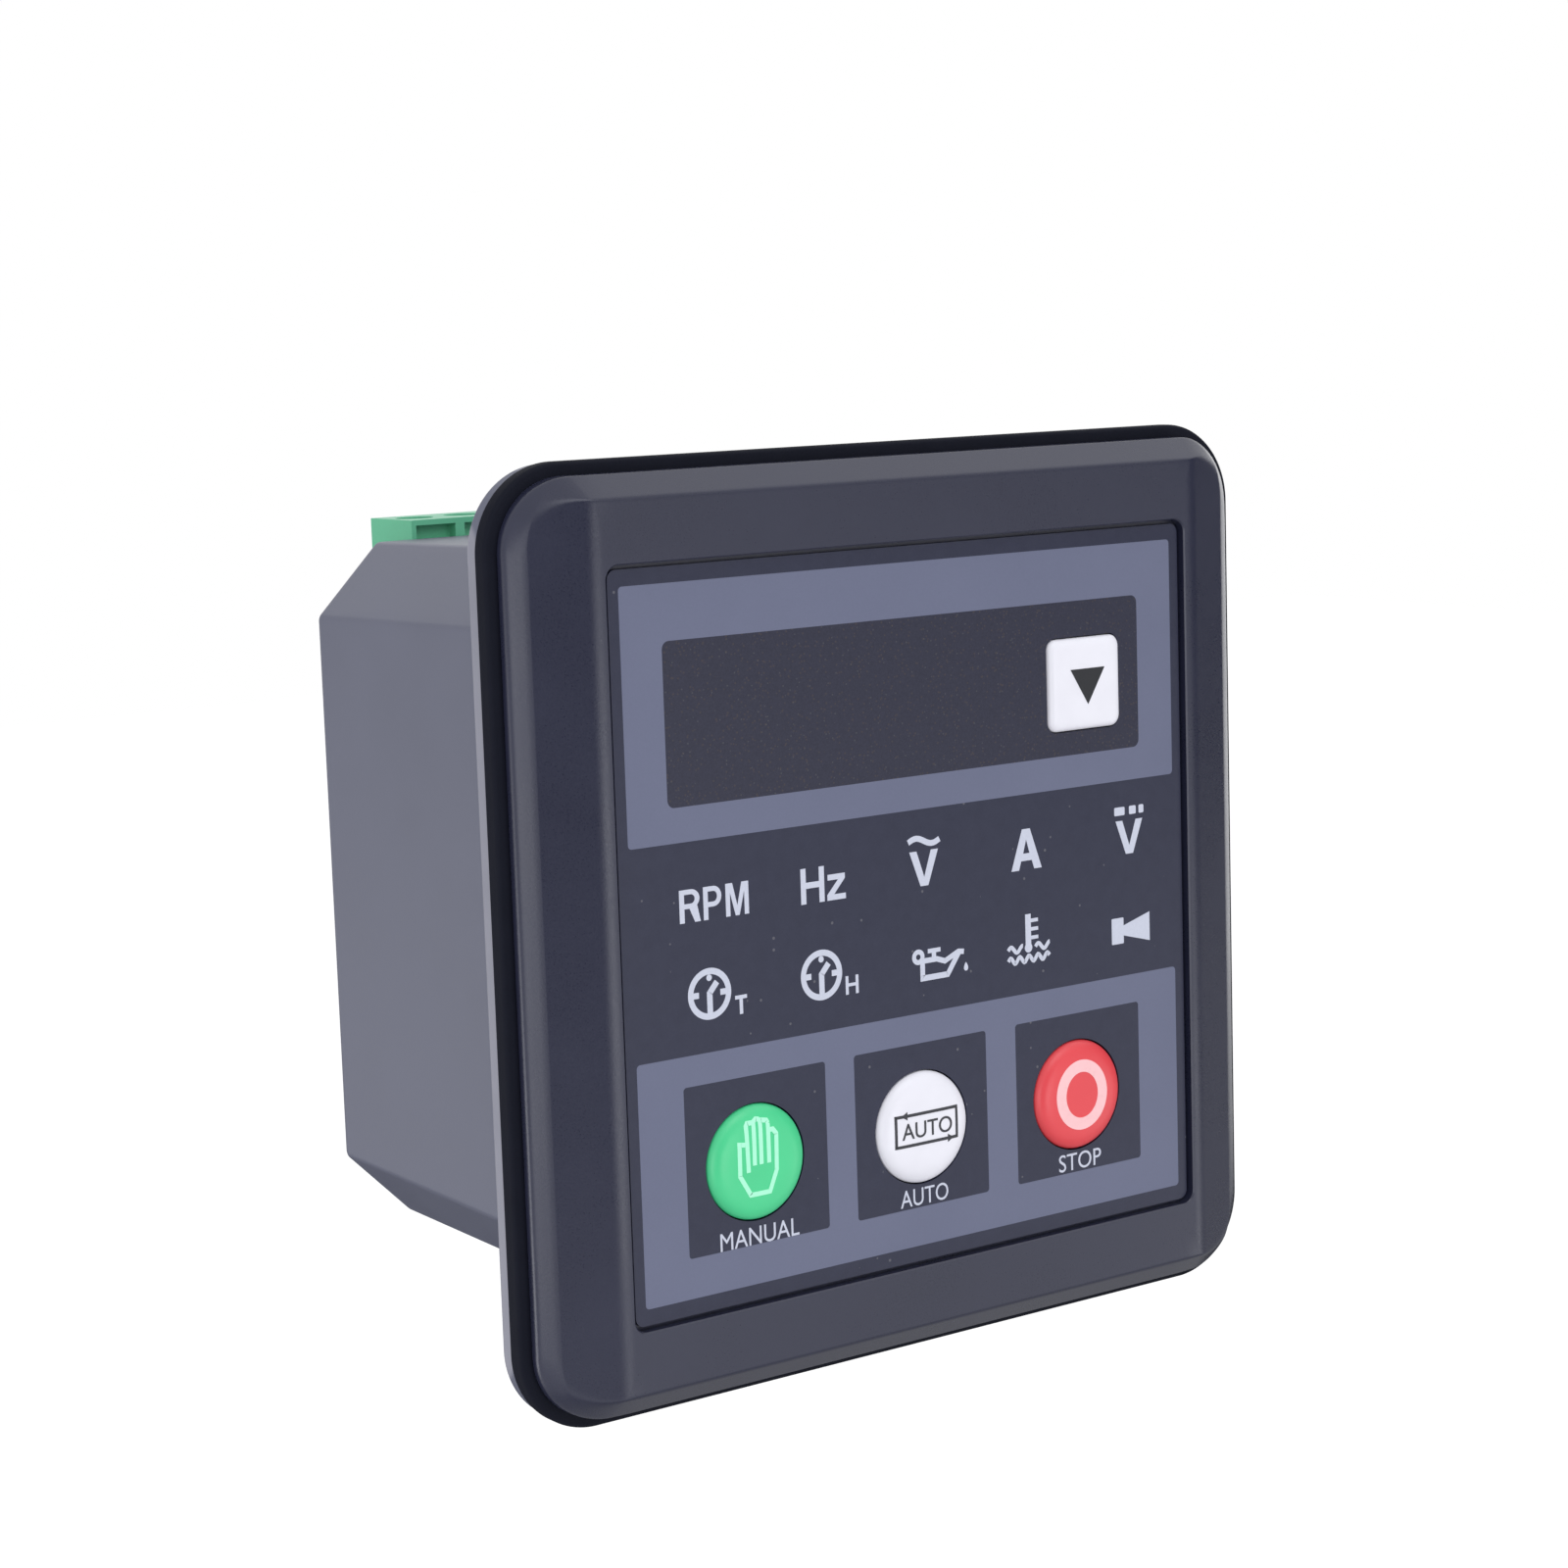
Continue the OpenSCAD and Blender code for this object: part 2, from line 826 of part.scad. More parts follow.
// One seven-bar digit, cut into the display's face
module digit_bars() {
    gap = bar_w + 2 * bar_gap;
    for (z = [-digit_h / 2, 0, digit_h / 2])
        translate([0, 0, z])
            block(digit_w - gap, bar_w, lamp_tip - cut, lamp_tip + bar_depth);
    for (x = [-1, 1], z = [-1, 1])
        translate([x * digit_w / 2, 0, z * digit_h / 4])
            block(bar_w, digit_h / 2 - gap, lamp_tip - cut, lamp_tip + bar_depth);
}

module led_display() {
    color("gray")
        translate([display_x, 0, display_z])
            difference() {
                block(display_w, display_h, lamp_tip, board_front);
                for (col = digit_cols)
                    translate([col * digit_pitch, 0, 0])
                        digit_bars();
            }
}

// Half section of a lamp: round tip, body and a rim on the board
module lamp_section() {
    r = lamp_d / 2;
    intersection() {
        translate([0, lamp_tip + r])
            circle(r = r);
        translate([0, lamp_tip])
            square(r);
    }
    translate([0, lamp_tip + r])
        square([r, board_front - lamp_tip - r]);
    translate([0, board_front - lamp_rim_t])
        square([r + lamp_rim_w, lamp_rim_t]);
}

module indicator_lamps() {
    color("mistyrose")
        at_lamps()
            about_y()
                lamp_section();
}

module controller_chip() {
    color("black")
        translate([0, 0, chip_z]) {
            block(chip_w, chip_w, board_rear, board_rear + chip_t);
            for (turn = [0 : 90 : 270], i = [0 : chip_leads - 1])
                rotate([0, turn, 0])
                    translate([chip_w / 2, 0, (i - (chip_leads - 1) / 2) * chip_pitch])
                        block(2 * chip_lead_len, chip_pitch / 2, board_rear, board_rear + chip_t / 2);
        }
}

// Link between the boards, spacers and screws

module link_pins() {
    color("gold") {
        translate([0, 0, link_z])
            block(link_poles * link_pitch, link_pitch, board_rear, board_rear + link_base_t);
        at_link()
            block(link_pin, link_pin, board_rear, main_front - link_socket_t + link_overlap);
    }
}

module link_socket() {
    front = main_front - link_socket_t;
    hole_w = link_pin + 2 * pin_clear;
    color("black")
        difference() {
            translate([0, 0, link_z])
                block(link_poles * link_pitch, link_pitch, front, main_front);
            at_link()
                block(hole_w, hole_w, front - cut, front + link_overlap + mate_clear);
        }
}

// A spacer's stud goes through the display board into the bezel's boss
module board_spacers() {
    color("goldenrod")
        at_spacers()
            difference() {
                union() {
                    bar_y(spacer_d, board_rear, main_front);
                    bar_y(stud_d, board_front - stud_len, board_rear + cut);
                }
                bar_y(stud_d + 2 * screw_clear, main_rear - screw_len - mate_clear, main_front + cut);
            }
}

module board_screws() {
    head_top = main_rear + screw_head_h;
    color("silver")
        at_spacers()
            difference() {
                union() {
                    bar_y(stud_d, main_rear - screw_len, head_top);
                    bar_y(screw_head_d, main_rear, head_top);
                }
                block(screw_head_d + cut, slot_w, head_top - slot_d, head_top + cut);
            }
}

// Main board and what it carries

module main_board() {
    hole_w = pin_w + 2 * pin_clear;
    color(board_green)
        difference() {
            board(main_front);
            for (side = [-1, 1])
                at_poles(side * header_z)
                    block(hole_w, hole_w, main_front - cut, main_rear + cut);
        }
}

module relay(x) {
    base_front = main_front - relay_base;
    color("black")
        translate([x, 0, relay_z]) {
            block(relay_w, relay_h, base_front, main_front);
            block(relay_w - 2 * relay_base_lip, relay_h - 2 * relay_base_lip,
                  main_front - relay_t, base_front);
        }
}

module start_relay() {
    relay(-relay_pitch);
}

module fuel_relay() {
    relay(0);
}

module alarm_relay() {
    relay(relay_pitch);
}

module capacitor_section() {
    r = capacitor_d / 2;
    top = main_front - capacitor_h;
    soft_polygon([[0, top], [r, top], [r, main_front], [0, main_front]], [0, capacitor_edge_r, 0, 0]);
}

module filter_capacitors() {
    color("midnightblue")
        for (x = [-capacitor_x, capacitor_x])
            translate([x, 0, capacitor_z])
                about_y()
                    capacitor_section();
}

// Terminals. The lower row is the upper row turned over.

module turned_over() {
    rotate([0, 180, 0])
        children();
}

module header() {
    hole_w = pin_w + 2 * pin_clear;
    color(terminal_green)
        translate([0, 0, header_z])
            difference() {
                block(header_len, header_h, main_rear, header_tip);
                block(header_len - 2 * header_wall, header_h - 2 * header_wall,
                      main_rear + header_base, header_tip + cut);
                at_poles(0)
                    block(hole_w, hole_w, main_rear - cut, main_rear + header_base + cut);
            }
}

module header_pins() {
    color("silver")
        at_poles(header_z)
            block(pin_w, pin_w, main_front - pin_tail, pin_tip);
}

// Body behind the rear face and a nose in the header. Each pole has a pin socket, a wire
// entry at the rear, a screw shaft from the top and a shallow pocket under the front lip.
module plug() {
    socket_w = pin_w + 2 * mate_clear;
    color(terminal_green)
        difference() {
            union() {
                translate([0, 0, plug_z])
                    block(row_len, plug_h, plug_front, plug_rear);
                translate([0, 0, header_z])
                    block(nose_len, nose_h, nose_tip, plug_front + cut);
            }
            at_poles(header_z)
                block(socket_w, socket_w, nose_tip - cut, pin_tip + mate_clear);
            at_poles(entry_z)
                block(entry_w, entry_h, entry_front, plug_rear + cut);
            at_poles(entry_z)
                translate([0, shank_y, 0])
                    cylinder(d = head_d + 2 * head_clear, h = plug_top - entry_z + cut);
            at_poles(plug_top - lip_t - pocket_h / 2)
                block(pole_pitch - pocket_rib, pocket_h, plug_front - cut, plug_front + pocket_d);
        }
}

// Metal cages that grip the wires, each with a hole for its screw
module clamps() {
    w = entry_w - 2 * clamp_clear;
    h = entry_h - 2 * clamp_clear;
    front = entry_front + clamp_clear;
    color("silver")
        at_poles(entry_z)
            difference() {
                block(w, h, front, plug_rear - clamp_set);
                block(w - 2 * clamp_wall, h - 2 * clamp_wall, front + clamp_wall, plug_rear);
                translate([0, shank_y, 0])
                    cylinder(d = shank_d + 2 * screw_clear, h = entry_h);
            }
}

module terminal_screws() {
    top = plug_top - head_set;
    color("silver")
        at_poles(0)
            translate([0, shank_y, 0])
                difference() {
                    union() {
                        translate([0, 0, top - head_h])
                            cylinder(d = head_d, h = head_h);
                        translate([0, 0, entry_z])
                            cylinder(d = shank_d, h = top - entry_z);
                    }
                    translate([-head_d, -slot_w / 2, top - slot_d])
                        cube([2 * head_d, slot_w, slot_d + cut]);
                }
}

module upper_header() {
    header();
}

module lower_header() {
    turned_over()
        header();
}

module upper_header_pins() {
    header_pins();
}

module lower_header_pins() {
    turned_over()
        header_pins();
}

module upper_plug() {
    plug();
}

module lower_plug() {
    turned_over()
        plug();
}

module upper_clamps() {
    clamps();
}

module lower_clamps() {
    turned_over()
        clamps();
}

module upper_terminal_screws() {
    terminal_screws();
}

module lower_terminal_screws() {
    turned_over()
        terminal_screws();
}

front_bezel();
overlay();
gasket();
rear_housing();
manual_button();
auto_button();
stop_button();
scroll_button();
manual_plunger();
auto_plunger();
stop_plunger();
scroll_plunger();
manual_switch();
auto_switch();
stop_switch();
scroll_switch();
display_board();
led_display();
indicator_lamps();
controller_chip();
link_pins();
link_socket();
board_spacers();
board_screws();
main_board();
start_relay();
fuel_relay();
alarm_relay();
filter_capacitors();
upper_header();
lower_header();
upper_header_pins();
lower_header_pins();
upper_plug();
lower_plug();
upper_clamps();
lower_clamps();
upper_terminal_screws();
lower_terminal_screws();
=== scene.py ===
"""Genset controller: moulded surfaces, printed front, finishes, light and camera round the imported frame.

Shapes are worked out in millimetres, as arrays of points, and turned into metres when they become meshes.
The front faces -Y and +Z is up. The camera, the lamps and the stage are placed in metres.
"""

import json
import math
from collections import namedtuple
from functools import cache

import bmesh
import bpy
import numpy as np
from mathutils import Matrix, Vector
from mathutils.geometry import tessellate_polygon


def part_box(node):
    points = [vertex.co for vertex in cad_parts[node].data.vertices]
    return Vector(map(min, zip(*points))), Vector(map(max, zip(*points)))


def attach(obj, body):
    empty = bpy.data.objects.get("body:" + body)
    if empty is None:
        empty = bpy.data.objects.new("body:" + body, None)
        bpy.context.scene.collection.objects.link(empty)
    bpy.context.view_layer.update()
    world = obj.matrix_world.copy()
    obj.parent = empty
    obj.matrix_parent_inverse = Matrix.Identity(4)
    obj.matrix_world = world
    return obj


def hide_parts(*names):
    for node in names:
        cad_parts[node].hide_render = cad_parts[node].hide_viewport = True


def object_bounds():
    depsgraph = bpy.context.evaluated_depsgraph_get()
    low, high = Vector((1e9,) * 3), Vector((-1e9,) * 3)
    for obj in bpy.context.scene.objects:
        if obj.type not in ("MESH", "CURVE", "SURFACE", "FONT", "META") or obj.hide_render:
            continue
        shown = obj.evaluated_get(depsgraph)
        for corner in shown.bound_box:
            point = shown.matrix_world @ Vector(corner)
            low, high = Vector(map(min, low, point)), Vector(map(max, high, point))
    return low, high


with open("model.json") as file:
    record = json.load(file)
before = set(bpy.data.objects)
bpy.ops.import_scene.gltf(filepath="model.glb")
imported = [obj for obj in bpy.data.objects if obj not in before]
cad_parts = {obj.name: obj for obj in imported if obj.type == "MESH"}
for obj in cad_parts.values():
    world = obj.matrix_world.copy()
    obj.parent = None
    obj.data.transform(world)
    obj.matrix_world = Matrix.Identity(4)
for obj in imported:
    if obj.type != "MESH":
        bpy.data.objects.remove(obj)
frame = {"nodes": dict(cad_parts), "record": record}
cad_low, cad_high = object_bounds()
nodes = frame["nodes"]
record = frame["record"]

MM = 0.001

# Meshes: distances in metres at which points are merged, and angles between faces
MERGE_DISTANCE = 1e-7
CAD_MERGE_DISTANCE = 1e-6
CRISP_ANGLE = math.radians(32)
BEVEL_ANGLE = math.radians(40)
FLAT_ANGLE = math.radians(1)
BEVEL_SEGMENTS = 2

# Numbers of points on rings, arcs and curves
SIDE_POINTS = 36
CORNER_POINTS = 28
CHAMFER_ARC_POINTS = 8
CIRCLE_POINTS = 96
DOT_POINTS = 24
BULB_POINTS = 32
SMALL_CORNER_POINTS = 7
OVERLAY_CORNER_POINTS = 12
SCROLL_CORNER_POINTS = 9
FACE_ROWS = 60
WALL_EDGE_ROWS = 14
GASKET_ARC_POINTS = 6
HOUSING_ARC_POINTS = 7
KEY_FACE_ROWS = 26
CURVE_POINTS = 40
BOWL_POINTS = 17
BOWL_POINTS_TO_LEG = 13
TEXT_STEPS = 5

# Bezel. The two wall edges give how much of the face and of the wall the rounding takes up
BEZEL_CORNER_R = 6.0
BEZEL_REAR = -3.15
SIDE_BEVEL = 6.7
SIDE_SLOPE = math.radians(19)
CREASE_R = 5.0
CHAMFER = 1.85
CHAMFER_SLOPE = math.radians(45)
CHAMFER_EDGE_R = 0.6
CHAMFER_CORNER_R = 7.5
RIDGE_SOFTNESS = 8
WALL_EDGE_SIDES = (1.6, 1.0)
WALL_EDGE_ENDS = (0.2, 0.3)
WALL_CREASE = 0.36
WALL_EDGE_WEIGHT = 2.6
RECESS_EDGE = 0.12
FLOOR_T = 1.5
SKIRT_GAP = 0.2
SKIRT_T = 1.5
LAMP_COLUMNS = 5
LAMP_RIM_R = 1.75
LAMP_HOLE_R = 1.7
DISPLAY_EDGE = 1.0
DISPLAY_HOLE_R = 0.1

# Overlay and keys
OVERLAY_R = 0.8
OVERLAY_GROOVE = 0.36
OVERLAY_EDGE = 0.06
ROUND_KEYS = ("manual_button", "auto_button", "stop_button")
KEY_COLLAR_W = 0.9
KEY_COLLAR_T = 1.0
KEY_CLEAR = 0.1
KEY_CURVE = 6.0
KEY_EDGE_DEPTH = 1.0
KEY_FACE_START = 0.02
SCROLL_R = 0.9
SCROLL_ROUNDEST = 0.95
SCROLL_CURVE = 12.0
SCROLL_EDGE_DEPTH = 0.6

# Housing, flange, gasket and plugs
SEAT_HALF = 31.507
CORNER_LEG = 6.25
INSET_LEG = 2 - math.sqrt(2)
HOUSING_WALL = 2.0
DRAFT = math.tan(math.radians(1))
REAR_EDGE_R = 1.2
SOFT_EDGE_R = 0.9
SHARP_EDGE_R = 0.001
FOOT_R = 0.5
FLANGE_EDGE_R = 0.5
RIM_STEP = 0.5
GASKET_EDGE_R = 0.35
GASKET_LIP = 0.45
GASKET_LIP_T = 0.42
HEADER_CLEAR = 0.3
HEADER_HOLE_R = 0.2
PLUG_EDGE = 0.12

# Ink: thicknesses, the share by which one shape lies behind another, and steps along drawn lines
INK = 0.012
KEY_INK = 0.03
INK_STEP = 0.06
LINE_STEP = 0.2
LENGTH_DIGITS = 4
TEXT_DEPTH = 1.0

# Prints on the overlay, sideways and upwards from its middle
FIELD_HALF = 28.9
FIELD_R = 0.35
UPPER_FIELD = (8.35, 29.15)
LOWER_FIELD = (-29.15, -9.05)
WINDOW_HALF = 25.0
WINDOW = (11.2, 24.55)
WINDOW_R = 0.65
TILE_HALF = 7.1
TILE_XS = (-17.4, -0.2, 17.3)
TILE_Z = -18.7
TILE_R = 0.3
AC_ENDS = (-0.95, 2.4)
AC_Z = 5.62
AC_HEIGHT = 0.27
AC_LINE = 0.5
DC_DASHES = ((22.02, 23.22), (23.74, 24.53), (24.86, 25.43))
DC_HEIGHT = (5.28, 6.02)
DC_R = 0.12
SYMBOL_PLACES = {
    "run_clock": (-21.6, -4.25),
    "hour_clock": (-10.35, -4.3),
    "oil_can": (1.7, -4.8),
    "coolant": (11.92, -4.75),
    "horn": (23.73, -4.97),
}
# Heavy labels: letter, left, right, bottom and top
UNIT_LABELS = {
    "label_rpm": [
        ("R", -24.23, -22.2, 1.8, 4.5),
        ("P", -21.9, -20.12, 1.8, 4.5),
        ("M", -19.71, -17.44, 1.8, 4.5),
    ],
    "label_hz": [("H", -12.19, -9.79, 1.8, 4.77), ("z", -9.51, -7.6, 1.8, 3.96)],
    "label_volt_ac": [("V", -0.85, 2.22, 1.8, 4.8)],
    "label_ampere": [("A", 10.2, 13.6, 1.8, 5.35)],
    "label_volt_dc": [("V", 22.15, 25.27, 1.8, 4.8)],
    "label_t": [("T", -19.12, -17.94, -6.36, -4.79)],
    "label_h": [("H", -7.9, -6.56, -6.34, -4.77)],
}
# Words under the keys: text, then left, right, bottom and top
KEY_LABELS = {
    "label_manual": ("MANUAL", (-21.42, -13.45, -25.8, -24.28)),
    "label_auto": ("AUTO", (-2.76, 2.39, -25.6, -24.1)),
    "label_stop": ("STOP", (14.86, 19.73, -25.6, -24.06)),
}

# Signs on the keys, from each key's middle
HAND_SHIFT = (-0.2, 0.55)
SIGN_SHIFT = (0.0, 0.08)
AUTO_WORD = (-2.65, 2.72, -0.68, 0.72)
AUTO_WORD_WEIGHT = 0.004

# Finishes: colours as red, green and blue
COOL_SHEEN = (0.93, 0.94, 1.0)
# Painted highlight along the flange's rim: half width in mm where it starts, how far it fades in, and its
# paler colour
RIM_HIGHLIGHT_START = 38.3
RIM_HIGHLIGHT_FADE = 0.2
RIM_HIGHLIGHT_COLOUR = (0.26, 0.262, 0.318)
GREEN_PLASTIC = (0.06, 0.62, 0.27)
WHITE_PLASTIC = (0.8, 0.8, 0.88)
RED_PLASTIC = (0.74, 0.055, 0.07)
PALE_GREEN_INK = (0.42, 0.95, 0.68)
PALE_RED_INK = (0.94, 0.56, 0.59)
DARK_INK = (0.04, 0.041, 0.05)
SCROLL_INK = (0.02, 0.021, 0.026)
# Numbers of a Mix node's sockets for colours
MIX_SHARE, MIX_FIRST, MIX_SECOND, MIX_RESULT = 0, 6, 7, 2

# Camera
CAMERA_PLACE = (-0.17238, -0.22716, 0.04964)
CAMERA_HEADING = math.radians(35.71)
CAMERA_PITCH = math.radians(-8.305)
CAMERA_ROLL = math.radians(1.863)
CAMERA_LENS = 77.5
CAMERA_SENSOR = 36.0
CAMERA_SHIFT_Y = 0.0159
CAMERA_NEAR = 0.01
CAMERA_FAR = 50.0

# Stage
FLOOR_HALF = 3.0
FLOOR_DROP = 0.3
FLOOR_COLOUR = (0.58, 0.58, 0.585)
FLOOR_GLOW = (0.55, 0.55, 0.55)
WORLD_LIGHT = 0.86
MATT = 0.9
# Lamps: place, aim, size and brightness
LAMPS = {
    "front_right_box": ((0.23, -0.86, -0.17), (0, 0, 0), 0.23, 4.0),
    "front_top_box": ((0.05, -0.8, 0.75), (0, 0, 0), 0.6, 2.0),
    "top_box": ((0.42, -0.12, 0.62), (0, 0, 0), 0.4, 0.7),
    "left_box": ((-0.6, -0.67, -0.1), (-0.02, 0, 0), 0.4, 2.2),
    "back_left_box": ((-0.48, 0.12, -0.2), (-0.03, 0.03, 0), 0.25, 3.0),
    "right_box": ((0.85, 0.31, -0.03), (0.03, 0, 0), 0.5, 0.9),
    "low_right_box": ((0.7, -0.5, -0.25), (0, 0, 0), 0.16, 2.6),
}
# Upright screens: first and last bearing in degrees right of the front, lowest and highest point, shade
SCREEN_REACH = 0.9
SCREENS = {
    "left_screen": (-15, 8, -0.3, 0.3, 0.02),
    "right_screen": (36, 56, -0.06, 0.4, 0.75),
    "side_screen": (56, 94, -0.13, 0.4, 0.02),
    "low_side_screen": (56, 94, -0.33, -0.13, 0.42),
    "rear_screen": (-180, -135, -0.13, 0.7, 0.4),
}
# Cards that lie below the part: left, right, front and rear end, shade
CARD_DROP = 0.22
CARDS = {
    "rear_card": (-0.25, 1.2, 0.16, 1.6, 0.01),
    "under_card": (-0.2, 1.2, -0.25, 0.16, 0.5),
}


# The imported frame


def span(node):
    """Lowest and highest corner of a CAD node, in millimetres."""
    low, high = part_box(node)
    return np.array(low) / MM, np.array(high) / MM


def middle(node):
    """Place of a CAD node's middle seen from the front, as X and Z."""
    low, high = span(node)
    return (low + high)[[0, 2]] / 2


def slot_of(node):
    """The record's material slot of a CAD node."""
    return next(part["material_slot"] for part in record["subparts"] if part["node"] == node)


def body_of(node):
    """The body that a CAD node rides on."""
    return next(body for body, held in record["behaviour"]["bodies"].items() if node in held)


# Meshes


def metres(points):
    """Points in millimetres as the flat run of metres that a mesh takes."""
    return (np.asarray(points) * MM).astype(np.float32).ravel()


def make_piece(name, node, surface, material, replaces=True):
    """A piece from a surface: points in millimetres and faces as arrays of corner numbers."""
    points, faces = surface
    mesh = bpy.data.meshes.new(name)
    mesh.vertices.add(len(points))
    mesh.vertices.foreach_set("co", metres(points))
    counts = np.concatenate([np.full(len(alike), alike.shape[1]) for alike in faces])
    mesh.loops.add(int(counts.sum()))
    corners = np.concatenate([alike.ravel() for alike in faces])
    mesh.loops.foreach_set("vertex_index", corners.astype(np.int32))
    mesh.polygons.add(len(counts))
    mesh.polygons.foreach_set("loop_start", (np.cumsum(counts) - counts).astype(np.int32))
    mesh.update(calc_edges=True)
    return add_piece(name, node, mesh, material, replaces)


def add_piece(name, node, mesh, material, replaces=True):
    """Merges a mesh's doubles, turns its faces outwards and shades it smooth up to CRISP_ANGLE. The piece
    takes the body of a CAD node, which it replaces or lies on, and the material it is given."""
    work = bmesh.new()
    work.from_mesh(mesh)
    bmesh.ops.remove_doubles(work, verts=work.verts, dist=MERGE_DISTANCE)
    bmesh.ops.recalc_face_normals(work, faces=work.faces)
    work.to_mesh(mesh)
    work.free()
    mesh.polygons.foreach_set("use_smooth", np.ones(len(mesh.polygons), bool))
    mesh.set_sharp_from_angle(angle=CRISP_ANGLE)
    mesh.materials.clear()
    mesh.materials.append(material)
    piece = bpy.data.objects.new(name, mesh)
    bpy.context.scene.collection.objects.link(piece)
    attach(piece, body_of(node))
    slot_of(node)
    if replaces:
        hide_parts(node)
    return piece


def bevelled(piece, width):
    """Rounds a piece's crisp edges by width, in millimetres."""
    bevel = piece.modifiers.new("edges", "BEVEL")
    bevel.width = width * MM
    bevel.segments = BEVEL_SEGMENTS
    bevel.limit_method = "ANGLE"
    bevel.angle_limit = BEVEL_ANGLE
    bevel.harden_normals = True
    return piece


def dressed_copy(name, node, material, edge):
    """A CAD node's own shape with its flat faces whole again and its edges rounded by edge."""
    mesh = nodes[node].data.copy()
    work = bmesh.new()
    work.from_mesh(mesh)
    bmesh.ops.remove_doubles(work, verts=work.verts, dist=CAD_MERGE_DISTANCE)
    bmesh.ops.dissolve_limit(work, angle_limit=FLAT_ANGLE, verts=work.verts, edges=work.edges)
    work.to_mesh(mesh)
    work.free()
    return bevelled(add_piece(name, node, mesh, material), edge)


# Flat outlines, in X and Z


def closed_ring(corner):
    """A ring from its corner in the first quarter: the corner is mirrored into the other quarters, and evenly
    spaced points on straight lines join the four."""
    quarters = [corner, (corner * (-1, 1))[::-1], -corner, (corner * (1, -1))[::-1]]
    step = np.linspace(0, 1, SIDE_POINTS + 2)[1:-1, None]
    parts = []
    for here, there in zip(quarters, quarters[1:] + quarters[:1]):
        parts += [here, here[-1] + step * (there[0] - here[-1])]
    return np.concatenate(parts)


def arc_points(points=CORNER_POINTS, end=math.pi / 2):
    """Unit directions from +X to the angle end, in even steps."""
    angle = np.linspace(0, end, points)
    return np.stack([np.cos(angle), np.sin(angle)], -1)


def round_corner(half_x, half_z, r):
    """A quarter circle of radius r whose centre lies r inside both sides."""
    return np.array([half_x - r, half_z - r]) + r * arc_points()


def cut_corner(half, leg, r):
    """A chamfer of the given leg. Each of its two edges is an eighth of a circle of radius r, which meets the
    sides r times the tangent of a sixteenth of a turn away from the edge."""
    reach = r * math.tan(math.pi / 8)
    first = np.array([half - r, half - leg - reach]) + r * arc_points(CHAMFER_ARC_POINTS, math.pi / 4)
    second = first[::-1, ::-1]
    step = np.linspace(0, 1, CORNER_POINTS - 2 * CHAMFER_ARC_POINTS + 2)[1:-1, None]
    return np.concatenate([first, first[-1] + step * (second[0] - first[-1]), second])


def octagon(inset, y=0.0, edge_r=SHARP_EDGE_R):
    """The housing's octagon at depth y, where its draft has brought the sides in, set in further by inset.
    The chamfers come in as far as the sides, so their legs lose INSET_LEG times the inset."""
    half = SEAT_HALF - DRAFT * y - inset
    return closed_ring(cut_corner(half, CORNER_LEG - INSET_LEG * inset, edge_r))


def circle(x, z, r, points=CIRCLE_POINTS):
    """A circle: its centre plus r times the cosine and sine of even steps of a full turn."""
    angle = np.linspace(0, 2 * math.pi, points, endpoint=False)
    return np.stack([x + r * np.cos(angle), z + r * np.sin(angle)], -1)


def rectangle(x0, x1, z0, z1, r, points=SMALL_CORNER_POINTS):
    """A rectangle with round corners: each corner is a quarter circle of radius r."""
    arc = r * arc_points(points)
    low, high = np.array([x0 + r, z0 + r]), np.array([x1 - r, z1 - r])
    return np.concatenate([
        high + arc,
        np.array([low[0], high[1]]) + (arc * (-1, 1))[::-1],
        low - arc,
        np.array([high[0], low[1]]) + (arc * (1, -1))[::-1],
    ])


def square(x, z, half, r, points=SMALL_CORNER_POINTS):
    """A square with round corners about a point."""
    return rectangle(x - half, x + half, z - half, z + half, r, points)


def node_outline(node, grow, r, points=SMALL_CORNER_POINTS):
    """The rectangle that a CAD node fills seen from the front, grown on all sides, with round corners."""
    low, high = span(node)
    return rectangle(low[0] - grow, high[0] + grow, low[2] - grow, high[2] + grow, r, points)


def level(outline, y):
    """A flat outline placed at depth y."""
    return np.stack([outline[:, 0], np.full(len(outline), y), outline[:, 1]], -1)


def rim_ring(half, inset, y):
    """A square ring of the seal or the flange at depth y, set in by inset. Its corners run round those of the
    bezel."""
    r = BEZEL_CORNER_R + half - span("front_bezel")[1][0] - inset
    return level(closed_ring(round_corner(half - inset, half - inset, r)), y)


# Surfaces


def loft_faces(rows, columns, start=0):
    """Quads between neighbouring rings of a stack, each ring closed on itself."""
    index = start + np.arange(rows * columns).reshape(rows, columns)
    after = np.roll(index, -1, 1)
    return np.stack([index[:-1], after[:-1], after[1:], index[1:]], -1).reshape(-1, 4)


def cap_faces(loops, starts):
    """Triangles that fill the first loop and leave the others open. starts gives each loop's first point."""
    flat_loops = [[Vector((x, z, 0)) for x, z in loop] for loop in loops]
    number = np.concatenate([start + np.arange(len(loop)) for loop, start in zip(loops, starts)])
    return number[np.array(tessellate_polygon(flat_loops))]


def loft(rings):
    """The surface of a stack of rings, each joined to the next."""
    rings = np.stack(rings)
    return rings.reshape(-1, 3), [loft_faces(*rings.shape[:2])]


def shell(rings, holes=()):
    """A closed surface: a stack of rings whose first and last ring are filled by flat walls, with holes that
    run through from the first wall to the last."""
    first, last = rings[0], rings[-1]
    points, faces = loft(rings)
    points, count = [points], len(points)
    first_loops, last_loops = [first[:, [0, 2]]], [last[:, [0, 2]]]
    first_starts, last_starts = [0], [count - len(last)]
    for hole in holes:
        points += [level(hole, first[0, 1]), level(hole, last[0, 1])]
        faces.append(loft_faces(2, len(hole), count))
        first_loops.append(hole)
        last_loops.append(hole)
        first_starts.append(count)
        last_starts.append(count + len(hole))
        count += 2 * len(hole)
    faces += [cap_faces(first_loops, first_starts), cap_faces(last_loops, last_starts)]
    return np.concatenate(points), faces


